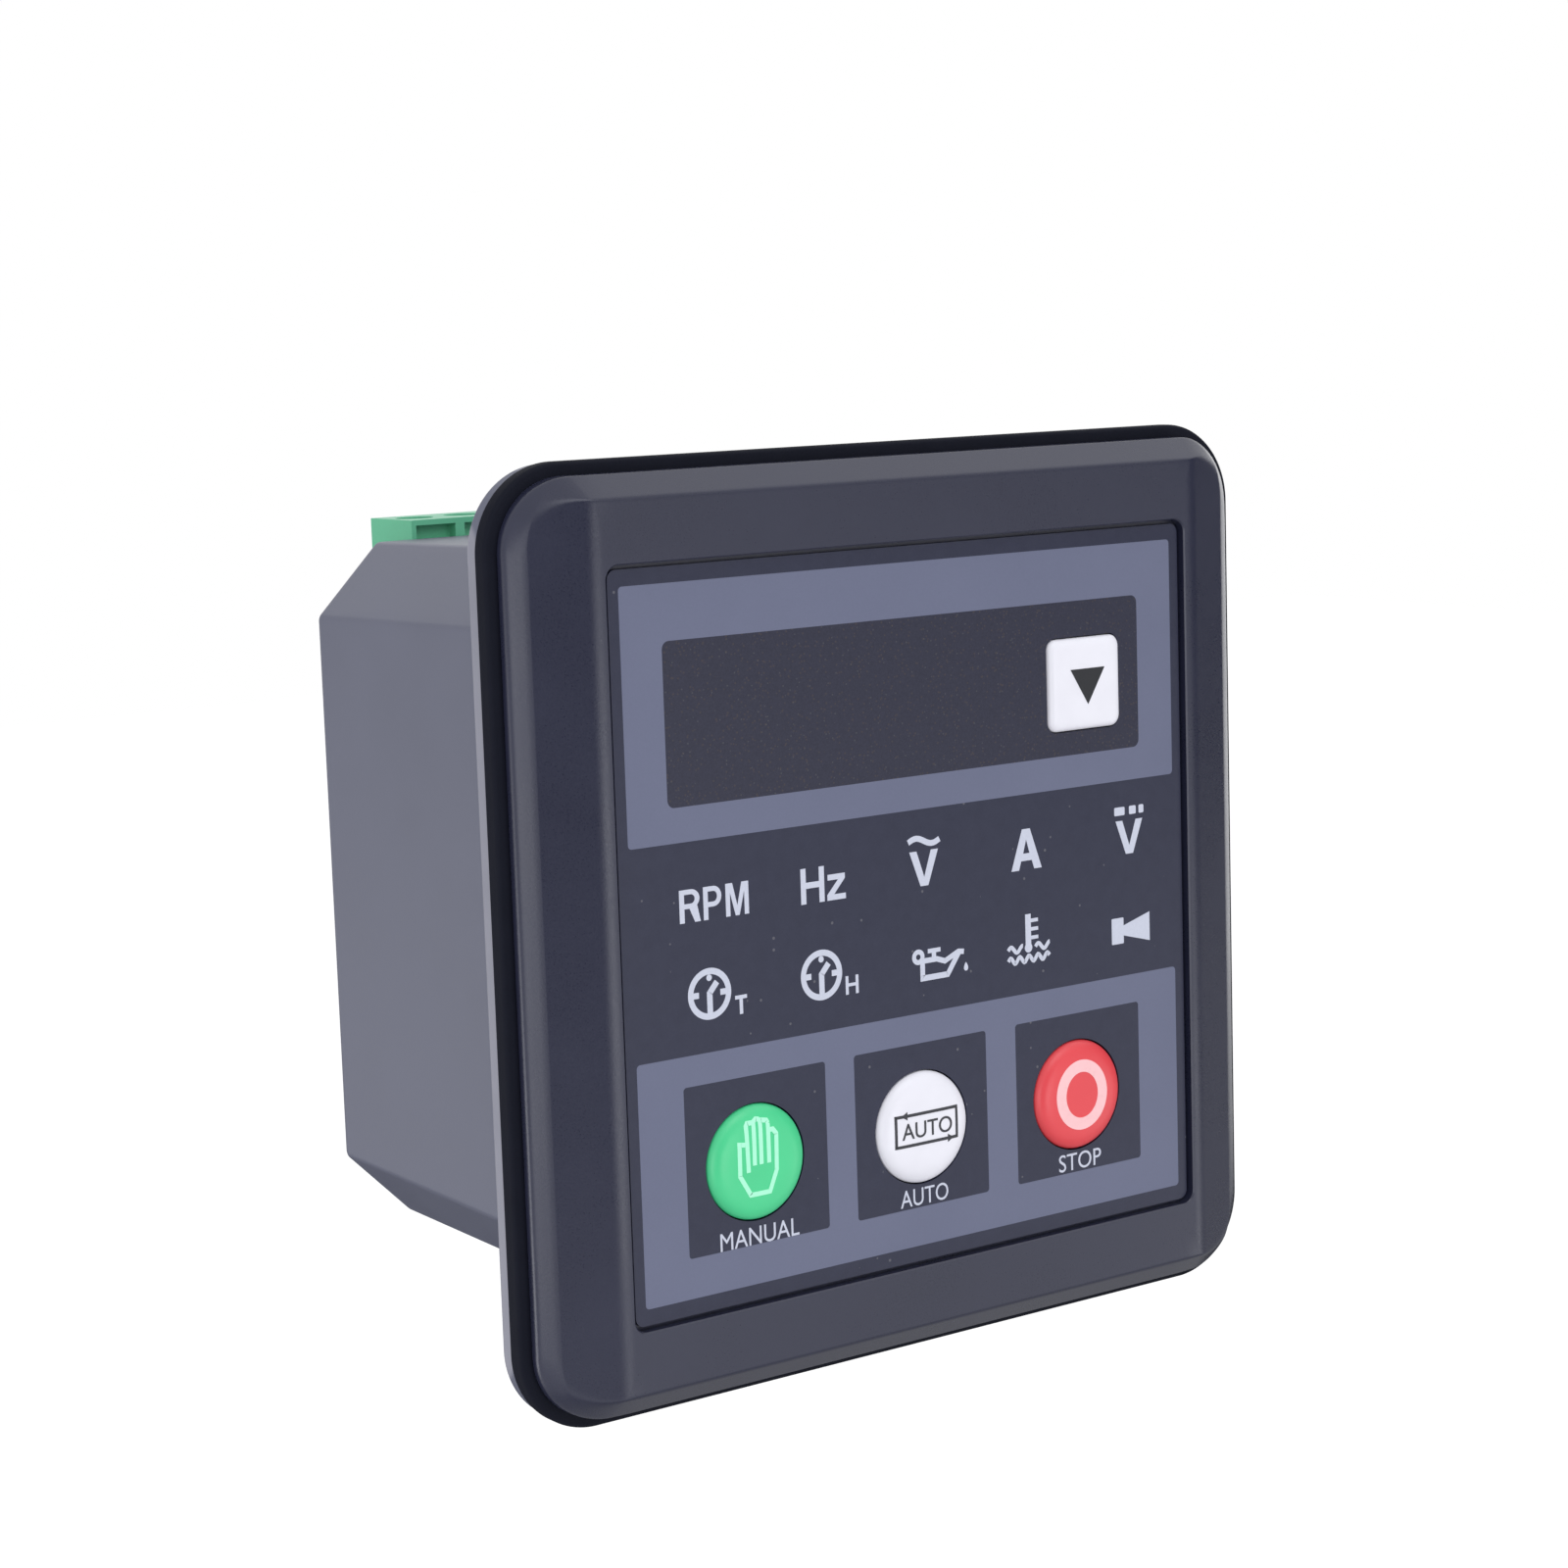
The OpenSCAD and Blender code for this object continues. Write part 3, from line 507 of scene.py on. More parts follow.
def prism(outline, holes, front, rear):
    """A flat shape with holes, carried from depth front to depth rear."""
    return shell([level(outline, front), level(outline, rear)], holes)


def fillet_drop(past, slope, r):
    """How far a surface falls back at a distance past a crease: nothing before it, a slope after it, and
    between them an arc of radius r, which starts r times the tangent of half the slope before the crease."""
    lead = r * math.tan(slope / 2)
    arc = r - np.sqrt(np.maximum(r * r - (past + lead) ** 2, 0))
    sloped = np.where(past < lead * math.cos(slope), arc, past * math.tan(slope))
    return np.where(past < -lead, 0.0, sloped)


def inset_of(points, half, r):
    """Distance of points inside a square outline with round corners of radius r: r less the distance outside
    the square that is r smaller, or r plus the distance inside it."""
    beyond = np.abs(points) - (half - r)
    outside = np.linalg.norm(np.maximum(beyond, 0), axis=-1)
    return r - outside - np.minimum(beyond.max(-1), 0)


def weighted_curve(start, control, end, weight, rows):
    """Rows of a rational curve from start to end, without its first one: the three points have the shares
    (1 - t) squared, twice weight times t times (1 - t), and t squared, over the sum of the shares."""
    t = np.linspace(0, 1, rows)[1:, None, None]
    near, pull, far = (1 - t) ** 2, 2 * weight * t * (1 - t), t**2
    return (near * start + pull * control + far * end) / (near + pull + far)


# Front, seal and housing


def on_face(points):
    """Flat points put on the bezel's face, which falls back by the soft greater of two drops, the side slope
    and the edge chamfer: each is taken to the same power, and their sum is rooted."""
    low, high = span("front_bezel")
    past_crease = np.abs(points[..., 0]) - (high[0] - SIDE_BEVEL)
    past_chamfer = CHAMFER - inset_of(points, high[0], CHAMFER_CORNER_R)
    slope = fillet_drop(past_crease, SIDE_SLOPE, CREASE_R)
    chamfer = fillet_drop(past_chamfer, CHAMFER_SLOPE, CHAMFER_EDGE_R)
    drop = (slope**RIDGE_SOFTNESS + chamfer**RIDGE_SOFTNESS) ** (1 / RIDGE_SOFTNESS)
    return np.stack([points[..., 0], low[1] + drop, points[..., 1]], -1)


def bezel_piece():
    """The moulded front. Lines run over its face from each point of the overlay's recess towards a point of
    the outline. A rational curve, whose control point lies a little behind the sharp edge, turns the face
    into the outer wall and leaves a crease where it starts on the sides."""
    half, rear = span("front_bezel")[1][:2]
    recess_low, recess_high = span("overlay")
    floor = recess_high[1]
    outline = closed_ring(round_corner(half, half, BEZEL_CORNER_R))
    normal = closed_ring(arc_points())
    recess_half = (recess_high - recess_low)[[0, 2]] / 2 + OVERLAY_GROOVE
    recess = closed_ring(round_corner(*recess_half, OVERLAY_R + OVERLAY_GROOVE))
    run = recess - outline

    side_share = normal[:, :1] ** 2
    edge_in, edge_down = (ends + (sides - ends) * side_share
                          for sides, ends in zip(WALL_EDGE_SIDES, WALL_EDGE_ENDS))
    edge_t = -edge_in / (run * normal).sum(-1, keepdims=True)
    lip_t = 1 - RECESS_EDGE / np.linalg.norm(run, axis=-1, keepdims=True)
    step = np.linspace(0, 1, FACE_ROWS)[:, None, None]
    face = on_face(outline + run * (lip_t + step * (edge_t - lip_t)))

    back = np.array([0, 1, 0])
    corner = on_face(outline)
    control = corner + back * WALL_CREASE * side_share
    edge = weighted_curve(face[-1], control, corner + back * edge_down, WALL_EDGE_WEIGHT, WALL_EDGE_ROWS)

    skirt_out = octagon(HOUSING_WALL + SKIRT_GAP)
    skirt_in = octagon(HOUSING_WALL + SKIRT_GAP + SKIRT_T)
    rings = [
        level(recess, floor),
        on_face(recess) + back * RECESS_EDGE,
        *face,
        *edge,
        level(outline, BEZEL_REAR - RECESS_EDGE),
        level(outline - normal * RECESS_EDGE, BEZEL_REAR),
        level(skirt_out, BEZEL_REAR),
        level(skirt_out, rear),
        level(skirt_in, rear),
        level(skirt_in, floor + FLOOR_T),
    ]
    surface = shell(rings, key_openings() + light_openings())
    return make_piece("moulded_bezel", "front_bezel", surface, bezel_plastic())


def key_reach(node):
    """Half the width of a key in front of its collar."""
    low, high = span(node)
    return (high[0] - low[0]) / 2 - KEY_COLLAR_W


def scroll_opening():
    """Outline of the hole for the scroll key."""
    half = key_reach("scroll_button") + KEY_CLEAR
    return square(*middle("scroll_button"), half, SCROLL_R + KEY_CLEAR)


def key_openings():
    """Outlines of the holes that the keys come through."""
    return [circle(*middle(key), key_reach(key) + KEY_CLEAR) for key in ROUND_KEYS] + [scroll_opening()]


def light_openings():
    """Outlines of the holes for the lamps and the digits."""
    low, high = span("indicator_lamps")
    columns = np.linspace(low[0] + LAMP_RIM_R, high[0] - LAMP_RIM_R, LAMP_COLUMNS)
    rows = (low[2] + LAMP_RIM_R, high[2] - LAMP_RIM_R)
    lamps = [circle(x, z, LAMP_HOLE_R, DOT_POINTS) for x in columns for z in rows]
    return lamps + [node_outline("led_display", -DISPLAY_EDGE, DISPLAY_HOLE_R)]


def overlay_piece():
    """The printed film: a flat plate with round corners and a hole for each key."""
    low, high = span("overlay")
    outline = node_outline("overlay", 0, OVERLAY_R, OVERLAY_CORNER_POINTS)
    plate = prism(outline, key_openings(), low[1], high[1])
    return bevelled(make_piece("overlay_film", "overlay", plate, overlay_film()), OVERLAY_EDGE)


def gasket_piece():
    """The seal: a flat ring whose hole is the housing's octagon, with a thin lip at its outline that reaches
    back over the flange's edge. Both outer edges are round: a ring that comes in by r - r cos a lies
    r - r sin a behind the front, or as far before the lip's end."""
    low, high = span("gasket")
    half, lip_rear, lip_r = high[0], high[1] + GASKET_LIP, GASKET_LIP_T / 2
    arc = 1 - arc_points(GASKET_ARC_POINTS)
    hole = octagon(HOUSING_WALL)
    rings = [level(hole, high[1]), level(hole, low[1])]
    rings += [rim_ring(half, GASKET_EDGE_R * c, low[1] + GASKET_EDGE_R * s) for c, s in arc[::-1]]
    rings += [rim_ring(half, lip_r * c, lip_rear - lip_r * s) for c, s in arc]
    rings += [rim_ring(half, GASKET_LIP_T, lip_rear), rim_ring(half, GASKET_LIP_T, high[1])]
    return make_piece("gasket_ring", "gasket", loft(rings + rings[:1]), rubber())


def housing_piece():
    """The rear housing as one stack of rings: up the inside, over the flange, whose rim steps in under the
    seal's lip and slopes out behind it, down the drafted outside and round the rear edge. At each edge the
    ring comes in by r - r cos a while it goes back by r sin a. At the hollow foot it comes in by r sin a
    while it goes back by r - r cos a."""
    low, high = span("rear_housing")
    half, rear = high[:2]
    arc = arc_points(HOUSING_ARC_POINTS)
    rings = [
        level(octagon(HOUSING_WALL, rear), rear - HOUSING_WALL),
        level(octagon(HOUSING_WALL), low[1]),
        rim_ring(half, RIM_STEP, low[1]),
        rim_ring(half, RIM_STEP, low[1] + GASKET_LIP),
    ]
    rings += [rim_ring(half, FLANGE_EDGE_R * (1 - c), FLANGE_EDGE_R * (s - 1)) for c, s in arc]
    rings += [level(octagon(FOOT_R * (s - 1), 0, SOFT_EDGE_R), FOOT_R * (1 - c)) for c, s in arc]
    end_rings = [octagon(REAR_EDGE_R * (1 - c), rear, SOFT_EDGE_R) for c in arc[:, 0]]
    rings += [level(ring, rear - REAR_EDGE_R * (1 - s)) for ring, s in zip(end_rings, arc[:, 1])]
    holes = [node_outline(header, HEADER_CLEAR, HEADER_HOLE_R) for header in ("upper_header", "lower_header")]
    return make_piece("drafted_housing", "rear_housing", shell(rings, holes), housing_plastic())


# Keys


def crown(distance, reach, depth, curve):
    """How far a key's face falls back at a distance from its middle: depth times one minus the square root of
    one minus the distance's share of reach to the power curve."""
    share = np.clip(distance / reach, 0, 1)
    return depth * (1 - np.sqrt(1 - share**curve))


def key_rings(node, outline, depth, curve):
    """Rings of a key: the face from its middle to its side, the side, then the collar. outline(h) is the flat
    outline of half width h, and on the face h is the reach times the sine of even steps to a quarter turn."""
    low, high = span(node)
    front, collar, rear = low[1] + KEY_INK, high[1] - KEY_COLLAR_T, high[1]
    reach = key_reach(node)
    share = np.sin(np.linspace(KEY_FACE_START, 1, KEY_FACE_ROWS) * math.pi / 2)
    rings = [level(outline(reach * s), front + crown(reach * s, reach, depth, curve)) for s in share]
    rings.append(level(outline(reach), collar))
    return rings + [level(outline(reach + KEY_COLLAR_W), y) for y in (collar, rear)]


def round_key(name, node, material):
    """A round key: its profile turned round its axis."""
    x, z = middle(node)
    rings = key_rings(node, lambda h: circle(x, z, h), KEY_EDGE_DEPTH, KEY_CURVE)
    return make_piece(name, node, shell(rings), material)


def square_key(name, node, material):
    """The scroll key: a square with round corners that grows from the middle of the face to its sides."""
    x, z = middle(node)

    def outline(h):
        """The square of half width h, whose corners are SCROLL_R round once it has room for that."""
        return square(x, z, h, min(SCROLL_R, SCROLL_ROUNDEST * h), SCROLL_CORNER_POINTS)

    rings = key_rings(node, outline, SCROLL_EDGE_DEPTH, SCROLL_CURVE)
    return make_piece(name, node, shell(rings), material)


def keys():
    """The four keys, each in its own plastic."""
    white = key_plastic("white_key", WHITE_PLASTIC)
    round_key("green_key", "manual_button", key_plastic("green_key", GREEN_PLASTIC))
    round_key("white_key", "auto_button", white)
    round_key("red_key", "stop_button", key_plastic("red_key", RED_PLASTIC))
    square_key("scroll_key_cap", "scroll_button", white)


# Prints

# What ink lies on: a CAD node, the depth of its face, the ink's thickness, and the face's bend over X and Z
Ground = namedtuple("Ground", "node depth ink bend")


def flat(x, z):
    """The bend of a flat face: none."""
    return 0.0


def film_ground():
    """The overlay's face."""
    return Ground("overlay", span("overlay")[0][1], INK, flat)


def key_ground(node):
    """A key's face. That of a round key bends the ink by its crown."""
    depth = span(node)[0][1] + KEY_INK
    if node not in ROUND_KEYS:
        return Ground(node, depth, KEY_INK, flat)
    key_x, key_z = middle(node)
    reach = key_reach(node)

    def bend(x, z):
        """The crown's fall at a point's distance from the key's middle."""
        return crown(np.hypot(x - key_x, z - key_z), reach, KEY_EDGE_DEPTH, KEY_CURVE)

    return Ground(node, depth, KEY_INK, bend)


def finer(path, closed):
    """A path with points added so that none of its steps is longer than LINE_STEP."""
    path = np.asarray(path, float)
    if closed:
        path = np.concatenate([path, path[:1]])
    length = np.concatenate([[0], np.cumsum(np.linalg.norm(np.diff(path, axis=0), axis=-1))])
    at = np.unique(np.concatenate([length, np.arange(0, length[-1], LINE_STEP)]).round(LENGTH_DIGITS))
    dense = np.stack([np.interp(at, length, path[:, i]) for i in (0, 1)], -1)
    return dense[:-1] if closed else dense


def ribbon(path, width, closed, front, rear):
    """A flat ribbon: a thin upright rectangle carried along a path. At each point it reaches half the width
    to both sides along the mitre of the two steps there, which is the sum of their normals over one plus the
    normals' product."""
    path = finer(path, closed)
    ahead = np.roll(path, -1, 0) - path
    behind = np.roll(ahead, 1, 0)
    if not closed:
        ahead[-1], behind[0] = behind[-1], ahead[0]
    first, second = (np.stack([-step[:, 1], step[:, 0]], -1) / np.linalg.norm(step, axis=-1, keepdims=True)
                     for step in (ahead, behind))
    mitre = (first + second) / (1 + (first * second).sum(-1, keepdims=True))
    left, right = path + mitre * width / 2, path - mitre * width / 2
    rings = np.stack([level(left, front), level(right, front), level(right, rear), level(left, rear)], 1)
    if closed:
        return loft(np.concatenate([rings, rings[:1]]))
    points, faces = loft(rings)
    ends = np.arange(len(points)).reshape(-1, 4)[[0, -1]]
    return points, faces + [ends]


def fill(outline, *holes):
    """A filled shape for print_piece."""
    return lambda front, rear: prism(outline, holes, front, rear)


def line(path, width, closed=False):
    """A drawn line for print_piece."""
    return lambda front, rear: ribbon(path, width, closed, front, rear)


def strokes(x, z, *drawn):
    """Lines for print_piece about a point, each from its path and its width."""
    return [line(np.array(path) + (x, z), width) for path, width in drawn]


def print_piece(name, shapes, ground, material):
    """Ink on a ground. Shapes that overlap lie a hair behind one another."""
    points, faces, count = [], [], 0
    for i, shape in enumerate(shapes):
        shape_points, shape_faces = shape(ground.depth - ground.ink * (1 - INK_STEP * i), ground.depth + INK)
        points.append(shape_points)
        faces += [alike + count for alike in shape_faces]
        count += len(shape_points)
    points = np.concatenate(points)
    points[:, 1] += ground.bend(points[:, 0], points[:, 2])
    return make_piece(name, ground.node, (points, faces), material, replaces=False)


def lettering(name, words, box, ground, material, weight=0.0):
    """Words in ink, stretched over a box given as left, right, bottom and top."""
    text = bpy.data.curves.new(name, "FONT")
    text.body = words
    text.offset = weight
    text.extrude = TEXT_DEPTH
    text.resolution_u = TEXT_STEPS
    holder = bpy.data.objects.new(name + ".text", text)
    bpy.context.scene.collection.objects.link(holder)
    graph = bpy.context.evaluated_depsgraph_get()
    mesh = bpy.data.meshes.new_from_object(holder.evaluated_get(graph))
    bpy.data.objects.remove(holder)
    points = np.empty(len(mesh.vertices) * 3, np.float32)
    mesh.vertices.foreach_get("co", points)
    points = points.reshape(-1, 3).astype(float)
    low, high = points.min(0), points.max(0)
    share = (points - low) / (high - low)
    left, right, bottom, top = box
    x = left + share[:, 0] * (right - left)
    z = bottom + share[:, 1] * (top - bottom)
    y = ground.depth + INK - (INK + ground.ink) * share[:, 2] + ground.bend(x, z)
    mesh.vertices.foreach_set("co", metres(np.stack([x, y, z], -1)))
    return add_piece(name, ground.node, mesh, material, replaces=False)


def fields():
    """The two colour fields and the dark window. The tiles are openings that the film shows through."""
    film, ink = film_ground(), field_ink()
    upper = rectangle(-FIELD_HALF, FIELD_HALF, *UPPER_FIELD, FIELD_R)
    window = rectangle(-WINDOW_HALF, WINDOW_HALF, *WINDOW, WINDOW_R)
    lower = rectangle(-FIELD_HALF, FIELD_HALF, *LOWER_FIELD, FIELD_R)
    tiles = [square(x, TILE_Z, TILE_HALF, TILE_R) for x in TILE_XS]
    print_piece("upper_field", [fill(upper, window)], film, ink)
    print_piece("display_window", [fill(window, scroll_opening())], film, window_film())
    print_piece("lower_field", [fill(lower, *tiles)], film, ink)


def wave(x0, x1, z, length, height):
    """A sine wave from x0 to x1 that starts on its middle line and rises first."""
    x = np.linspace(x0, x1, CURVE_POINTS)
    return np.stack([x, z + height * np.sin(2 * math.pi * (x - x0) / length)], -1)


def clock(x, z):
    """A dial: a ring with a dot at the top, a stub at each side, and a hand that bends to the right."""
    ring_r, ring_w, hand_w, stub_w = 2.12, 0.52, 0.54, 0.5
    overlap, stub_end, dot_z, dot_r = 0.1, 1.05, 1.32, 0.27
    root = ring_r - ring_w + overlap
    hand = ((0, -root), (0, 0.05), (0.75, 0.9))
    stubs = [(((side * root, 0), (side * stub_end, 0)), stub_w) for side in (-1, 1)]
    return [
        line(circle(x, z, ring_r - ring_w / 2), ring_w, True),
        *strokes(x, z, (hand, hand_w), *stubs),
        fill(circle(x, z + dot_z, dot_r, DOT_POINTS)),
    ]


def oil_can(x, z):
    """A can drawn in outline, with a ring handle, a cap, a spout that points up to the right, and a drop. The
    drop's height is a cosine, and its half width a sine times the sine of half the angle."""
    body, body_w = ((-1.45, 0.1), (-1.45, -1.3), (1.25, -1.3), (2.5, 0.42)), 0.5
    spout, spout_w = ((-1.5, 0.18), (0.1, 0.18), (0.98, -0.12), (2.45, 0.5), (3.05, 0.42)), 0.46
    cap, cap_w = ((-0.85, 0.95), (0.52, 0.95)), 0.38
    neck, neck_w = ((-0.2, 0.95), (-0.2, 0.2)), 0.46
    handle_x, handle_z, handle_r, handle_w = -1.88, 0.58, 0.45, 0.42
    drop_x, drop_z, drop_w, drop_h = 3.25, -0.9, 0.3, 0.38
    angle = np.linspace(0, 2 * math.pi, CURVE_POINTS, endpoint=False)
    drop = np.stack([drop_w * np.sin(angle) * np.sin(angle / 2), drop_h * np.cos(angle)], -1)
    return [
        line(circle(x + handle_x, z + handle_z, handle_r), handle_w, True),
        *strokes(x, z, (body, body_w), (spout, spout_w), (cap, cap_w), (neck, neck_w)),
        fill(drop + (x + drop_x, z + drop_z)),
    ]


def thermometer(x, z):
    """A stem with three ticks to its right, standing in two lines of waves."""
    stem, stem_w = ((0, -0.35), (0, 2.65)), 0.62
    bulb_z, bulb_r = -0.3, 0.42
    tick_start, tick_end, tick_w = 0.2, 1.12, 0.32
    wave_h, wave_w = 0.26, 0.36
    upper_z, upper_length, lower_z, lower_length = -0.3, 1.3, -1.25, 1.03
    ticks = [(((tick_start, tick_z), (tick_end, tick_z)), tick_w) for tick_z in (0.55, 1.3, 2.05)]
    waves = (
        wave(-2.28, -0.62, upper_z, upper_length, wave_h),
        wave(0.78, 2.4, upper_z, upper_length, wave_h),
        wave(-2.28, 2.35, lower_z, lower_length, wave_h),
    )
    return [
        *strokes(x, z, (stem, stem_w)),
        fill(circle(x, z + bulb_z, bulb_r, BULB_POINTS)),
        *strokes(x, z, *ticks, *[(path, wave_w) for path in waves]),
    ]


def horn(x, z):
    """A block and a wedge that widens to the right."""
    block_x, block_z, block_r = (-2.25, -0.86), (-1.17, 1.15), 0.1
    wedge = np.array([(-0.95, 0.4), (2.2, 1.3), (2.2, -1.3), (-0.95, -0.45)])
    return [fill(rectangle(*block_x, *block_z, block_r) + (x, z)), fill(wedge + (x, z))]


def bowl(x, z, half_x, half_z):
    """The right half of an ellipse from its top to its bottom: its middle plus the half widths times the
    cosine and sine of even steps of half a turn."""
    angle = np.linspace(math.pi / 2, -math.pi / 2, BOWL_POINTS)
    return [(x + half_x * c, z + half_z * s) for c, s in zip(np.cos(angle), np.sin(angle))]


# Heavy block letters in a unit square: an outline, then its holes
LETTERS = {
    "R": (
        [(0, 0), (0, 1), *bowl(0.55, 0.715, 0.42, 0.285)[:BOWL_POINTS_TO_LEG], (1, 0), (0.73, 0),
         (0.48, 0.42), (0.235, 0.42), (0.235, 0)],
        [(0.235, 0.57), (0.235, 0.85), *bowl(0.55, 0.71, 0.19, 0.14)],
    ),
    "P": (
        [(0, 0), (0, 1), *bowl(0.55, 0.69, 0.45, 0.31), (0.255, 0.38), (0.255, 0)],
        [(0.255, 0.53), (0.255, 0.85), *bowl(0.55, 0.69, 0.21, 0.16)],
    ),
    "M": (
        [(0, 0), (0, 1), (0.3, 1), (0.5, 0.3), (0.7, 1), (1, 1), (1, 0), (0.81, 0), (0.81, 0.72), (0.585, 0),
         (0.415, 0), (0.19, 0.72), (0.19, 0)],
    ),
    "H": (
        [(0, 0), (0, 1), (0.22, 1), (0.22, 0.6), (0.78, 0.6), (0.78, 1), (1, 1), (1, 0), (0.78, 0),
         (0.78, 0.43), (0.22, 0.43), (0.22, 0)],
    ),
    "z": (
        [(0, 0), (0, 0.22), (0.6, 0.78), (0.04, 0.78), (0.04, 1), (0.97, 1), (0.97, 0.8), (0.37, 0.22),
         (1, 0.22), (1, 0)],
    ),
    "V": ([(0, 1), (0.25, 1), (0.5, 0.25), (0.75, 1), (1, 1), (0.635, 0), (0.365, 0)],),
    "A": (
        [(0, 0), (0.37, 1), (0.63, 1), (1, 0), (0.75, 0), (0.675, 0.22), (0.325, 0.22), (0.25, 0)],
        [(0.395, 0.4), (0.605, 0.4), (0.5, 0.74)],
    ),
    "T": ([(0, 1), (1, 1), (1, 0.8), (0.64, 0.8), (0.64, 0), (0.36, 0), (0.36, 0.8), (0, 0.8)],),
}


def letter(sign, left, right, bottom, top):
    """One heavy letter stretched over its box."""
    size, corner = np.array([right - left, top - bottom]), np.array([left, bottom])
    return fill(*[corner + np.array(loop) * size for loop in LETTERS[sign]])


def symbols():
    """White labels and symbols on the film."""
    film, ink = film_ground(), white_ink()
    for name, signs in UNIT_LABELS.items():
        print_piece(name, [letter(*sign) for sign in signs], film, ink)
    for name, (words, box) in KEY_LABELS.items():
        lettering(name, words, box, film, ink)
    tilde = wave(*AC_ENDS, AC_Z, AC_ENDS[1] - AC_ENDS[0], AC_HEIGHT)
    print_piece("mark_ac", [line(tilde, AC_LINE)], film, ink)
    dashes = [fill(rectangle(*ends, *DC_HEIGHT, DC_R)) for ends in DC_DASHES]
    print_piece("mark_dc", dashes, film, ink)
    for name, draw in (
        ("run_clock", clock),
        ("hour_clock", clock),
        ("oil_can", oil_can),
        ("coolant", thermometer),
        ("horn", horn),
    ):
        print_piece("symbol_" + name, draw(*SYMBOL_PLACES[name]), film, ink)


def hand(x, z):
    """An open hand in outline: thumb at the left, four fingers upwards and a palm that narrows downwards."""
    line_w = 0.4
    palm = ((-1.28, 1.23), (-1.85, 1.32), (-1.88, -1.33), (-0.86, -3.05), (1.06, -3.05), (1.79, -1.33),
            (1.86, 1.69), (1.53, 2.11), (1.11, 2.11))
    index_finger = ((-1.02, -1.14), (-1.12, 2.74), (-0.98, 2.96), (-0.44, 2.96))
    long_finger = ((-0.38, -0.63), (-0.38, 2.99), (-0.11, 3.2), (0.23, 3.13))
    ring_finger = ((0.29, -0.63), (0.29, 3.04), (0.59, 3.0), (0.95, 2.93), (1.08, 2.67))
    little_finger = ((1.06, -0.63), (1.06, 2.67))
    paths = (palm, index_finger, long_finger, ring_finger, little_finger)
    return strokes(x, z, *[(path, line_w) for path in paths])


def auto_box(x, z):
    """A thin frame with an arrow to the left in its upper side and one to the right in its lower side."""
    half_w, half_h, line_w = 3.26, 1.3, 0.26
    head, rise, upper_tip, lower_tip = 0.62, 0.36, -2.68, 2.86
    outline = np.array([(-half_w, -half_h), (half_w, -half_h), (half_w, half_h), (-half_w, half_h)])
    arrow = np.array([(0, 0), (head, rise), (head, -rise)])
    return [
        line(outline + (x, z), line_w, True),
        fill(arrow + (x + upper_tip, z + half_h)),
        fill(-arrow + (x + lower_tip, z - half_h)),
    ]


def stop_ring(x, z):
    """An upright oval ring: a unit circle stretched by its two half widths."""
    half_x, half_z, line_w = 2.355, 2.58, 1.08
    return [line(circle(0, 0, 1) * (half_x, half_z) + (x, z), line_w, True)]


def down_mark(x, z):
    """A triangle that points down."""
    return [fill(np.array([(-1.78, 1.32), (2.08, 1.32), (0.15, -1.8)]) + (x, z))]


def key_sign(name, node, draw, shift, ink):
    """A drawn sign on a key's face, shifted from the key's middle."""
    print_piece(name, draw(*(middle(node) + shift)), key_ground(node), ink)


def auto_word(ink):
    """The word inside the auto key's frame."""
    x, z = middle("auto_button")
    left, right, bottom, top = AUTO_WORD
    box = (x + left, x + right, z + bottom, z + top)
    lettering("sign_auto", "AUTO", box, key_ground("auto_button"), ink, AUTO_WORD_WEIGHT)


def key_prints():
    """Signs on the keys."""
    dark = key_ink("dark_ink", DARK_INK)
    key_sign("sign_hand", "manual_button", hand, HAND_SHIFT, key_ink("pale_green_ink", PALE_GREEN_INK))
    key_sign("sign_auto_box", "auto_button", auto_box, SIGN_SHIFT, dark)
    auto_word(dark)
    key_sign("sign_stop", "stop_button", stop_ring, SIGN_SHIFT, key_ink("pale_red_ink", PALE_RED_INK))
    key_sign("sign_scroll", "scroll_button", down_mark, (0, 0), key_ink("dark_key_ink", SCROLL_INK))


# Finishes


class Value:
    """A socket that takes part in sums: each operation adds the Math node that works it out."""

    def __init__(self, tree, socket):
        self.tree = tree
        self.socket = socket

    def __add__(self, other):
        return self.tree.math("ADD", self, other)

    __radd__ = __add__

    def __mul__(self, other):
        return self.tree.math("MULTIPLY", self, other)

    __rmul__ = __mul__

    def __sub__(self, other):
        return self.tree.math("SUBTRACT", self, other)

    def __rsub__(self, other):
        return self.tree.math("SUBTRACT", other, self)

    def above(self, edge):
        """One where the value is greater than edge, and otherwise nothing."""
        return self.tree.math("GREATER_THAN", self, edge)

    def about(self, centre, swing):
        """Values round a centre from a noise of nothing to one: swing is the whole width that they cover."""
        return centre + swing * (self - 0.5)


class Tree:
    """A node tree under construction."""

    def __init__(self, tree):
        self.tree = tree

    def feed(self, socket, value):
        """Links a value to a socket, or sets the socket to a number, a vector or a colour."""
        if isinstance(value, Value):
            self.tree.links.new(value.socket, socket)
        elif np.ndim(value) and len(socket.default_value) == 4:
            socket.default_value = (*value, 1.0)[:4]
        else:
            socket.default_value = value

    def node(self, kind, settings=None, inputs=None, output=0):
        """Adds a node: its settings first, then the values or links of its sockets."""
        made = self.tree.nodes.new(kind)
        for name, value in (settings or {}).items():
            setattr(made, name, value)
        for name, value in (inputs or {}).items():
            self.feed(made.inputs[name], value)
        return Value(self, made.outputs[output])

    def math(self, operation, first, second=0.0):
        """Adds a Math node."""
        return self.node("ShaderNodeMath", {"operation": operation}, {0: first, 1: second})


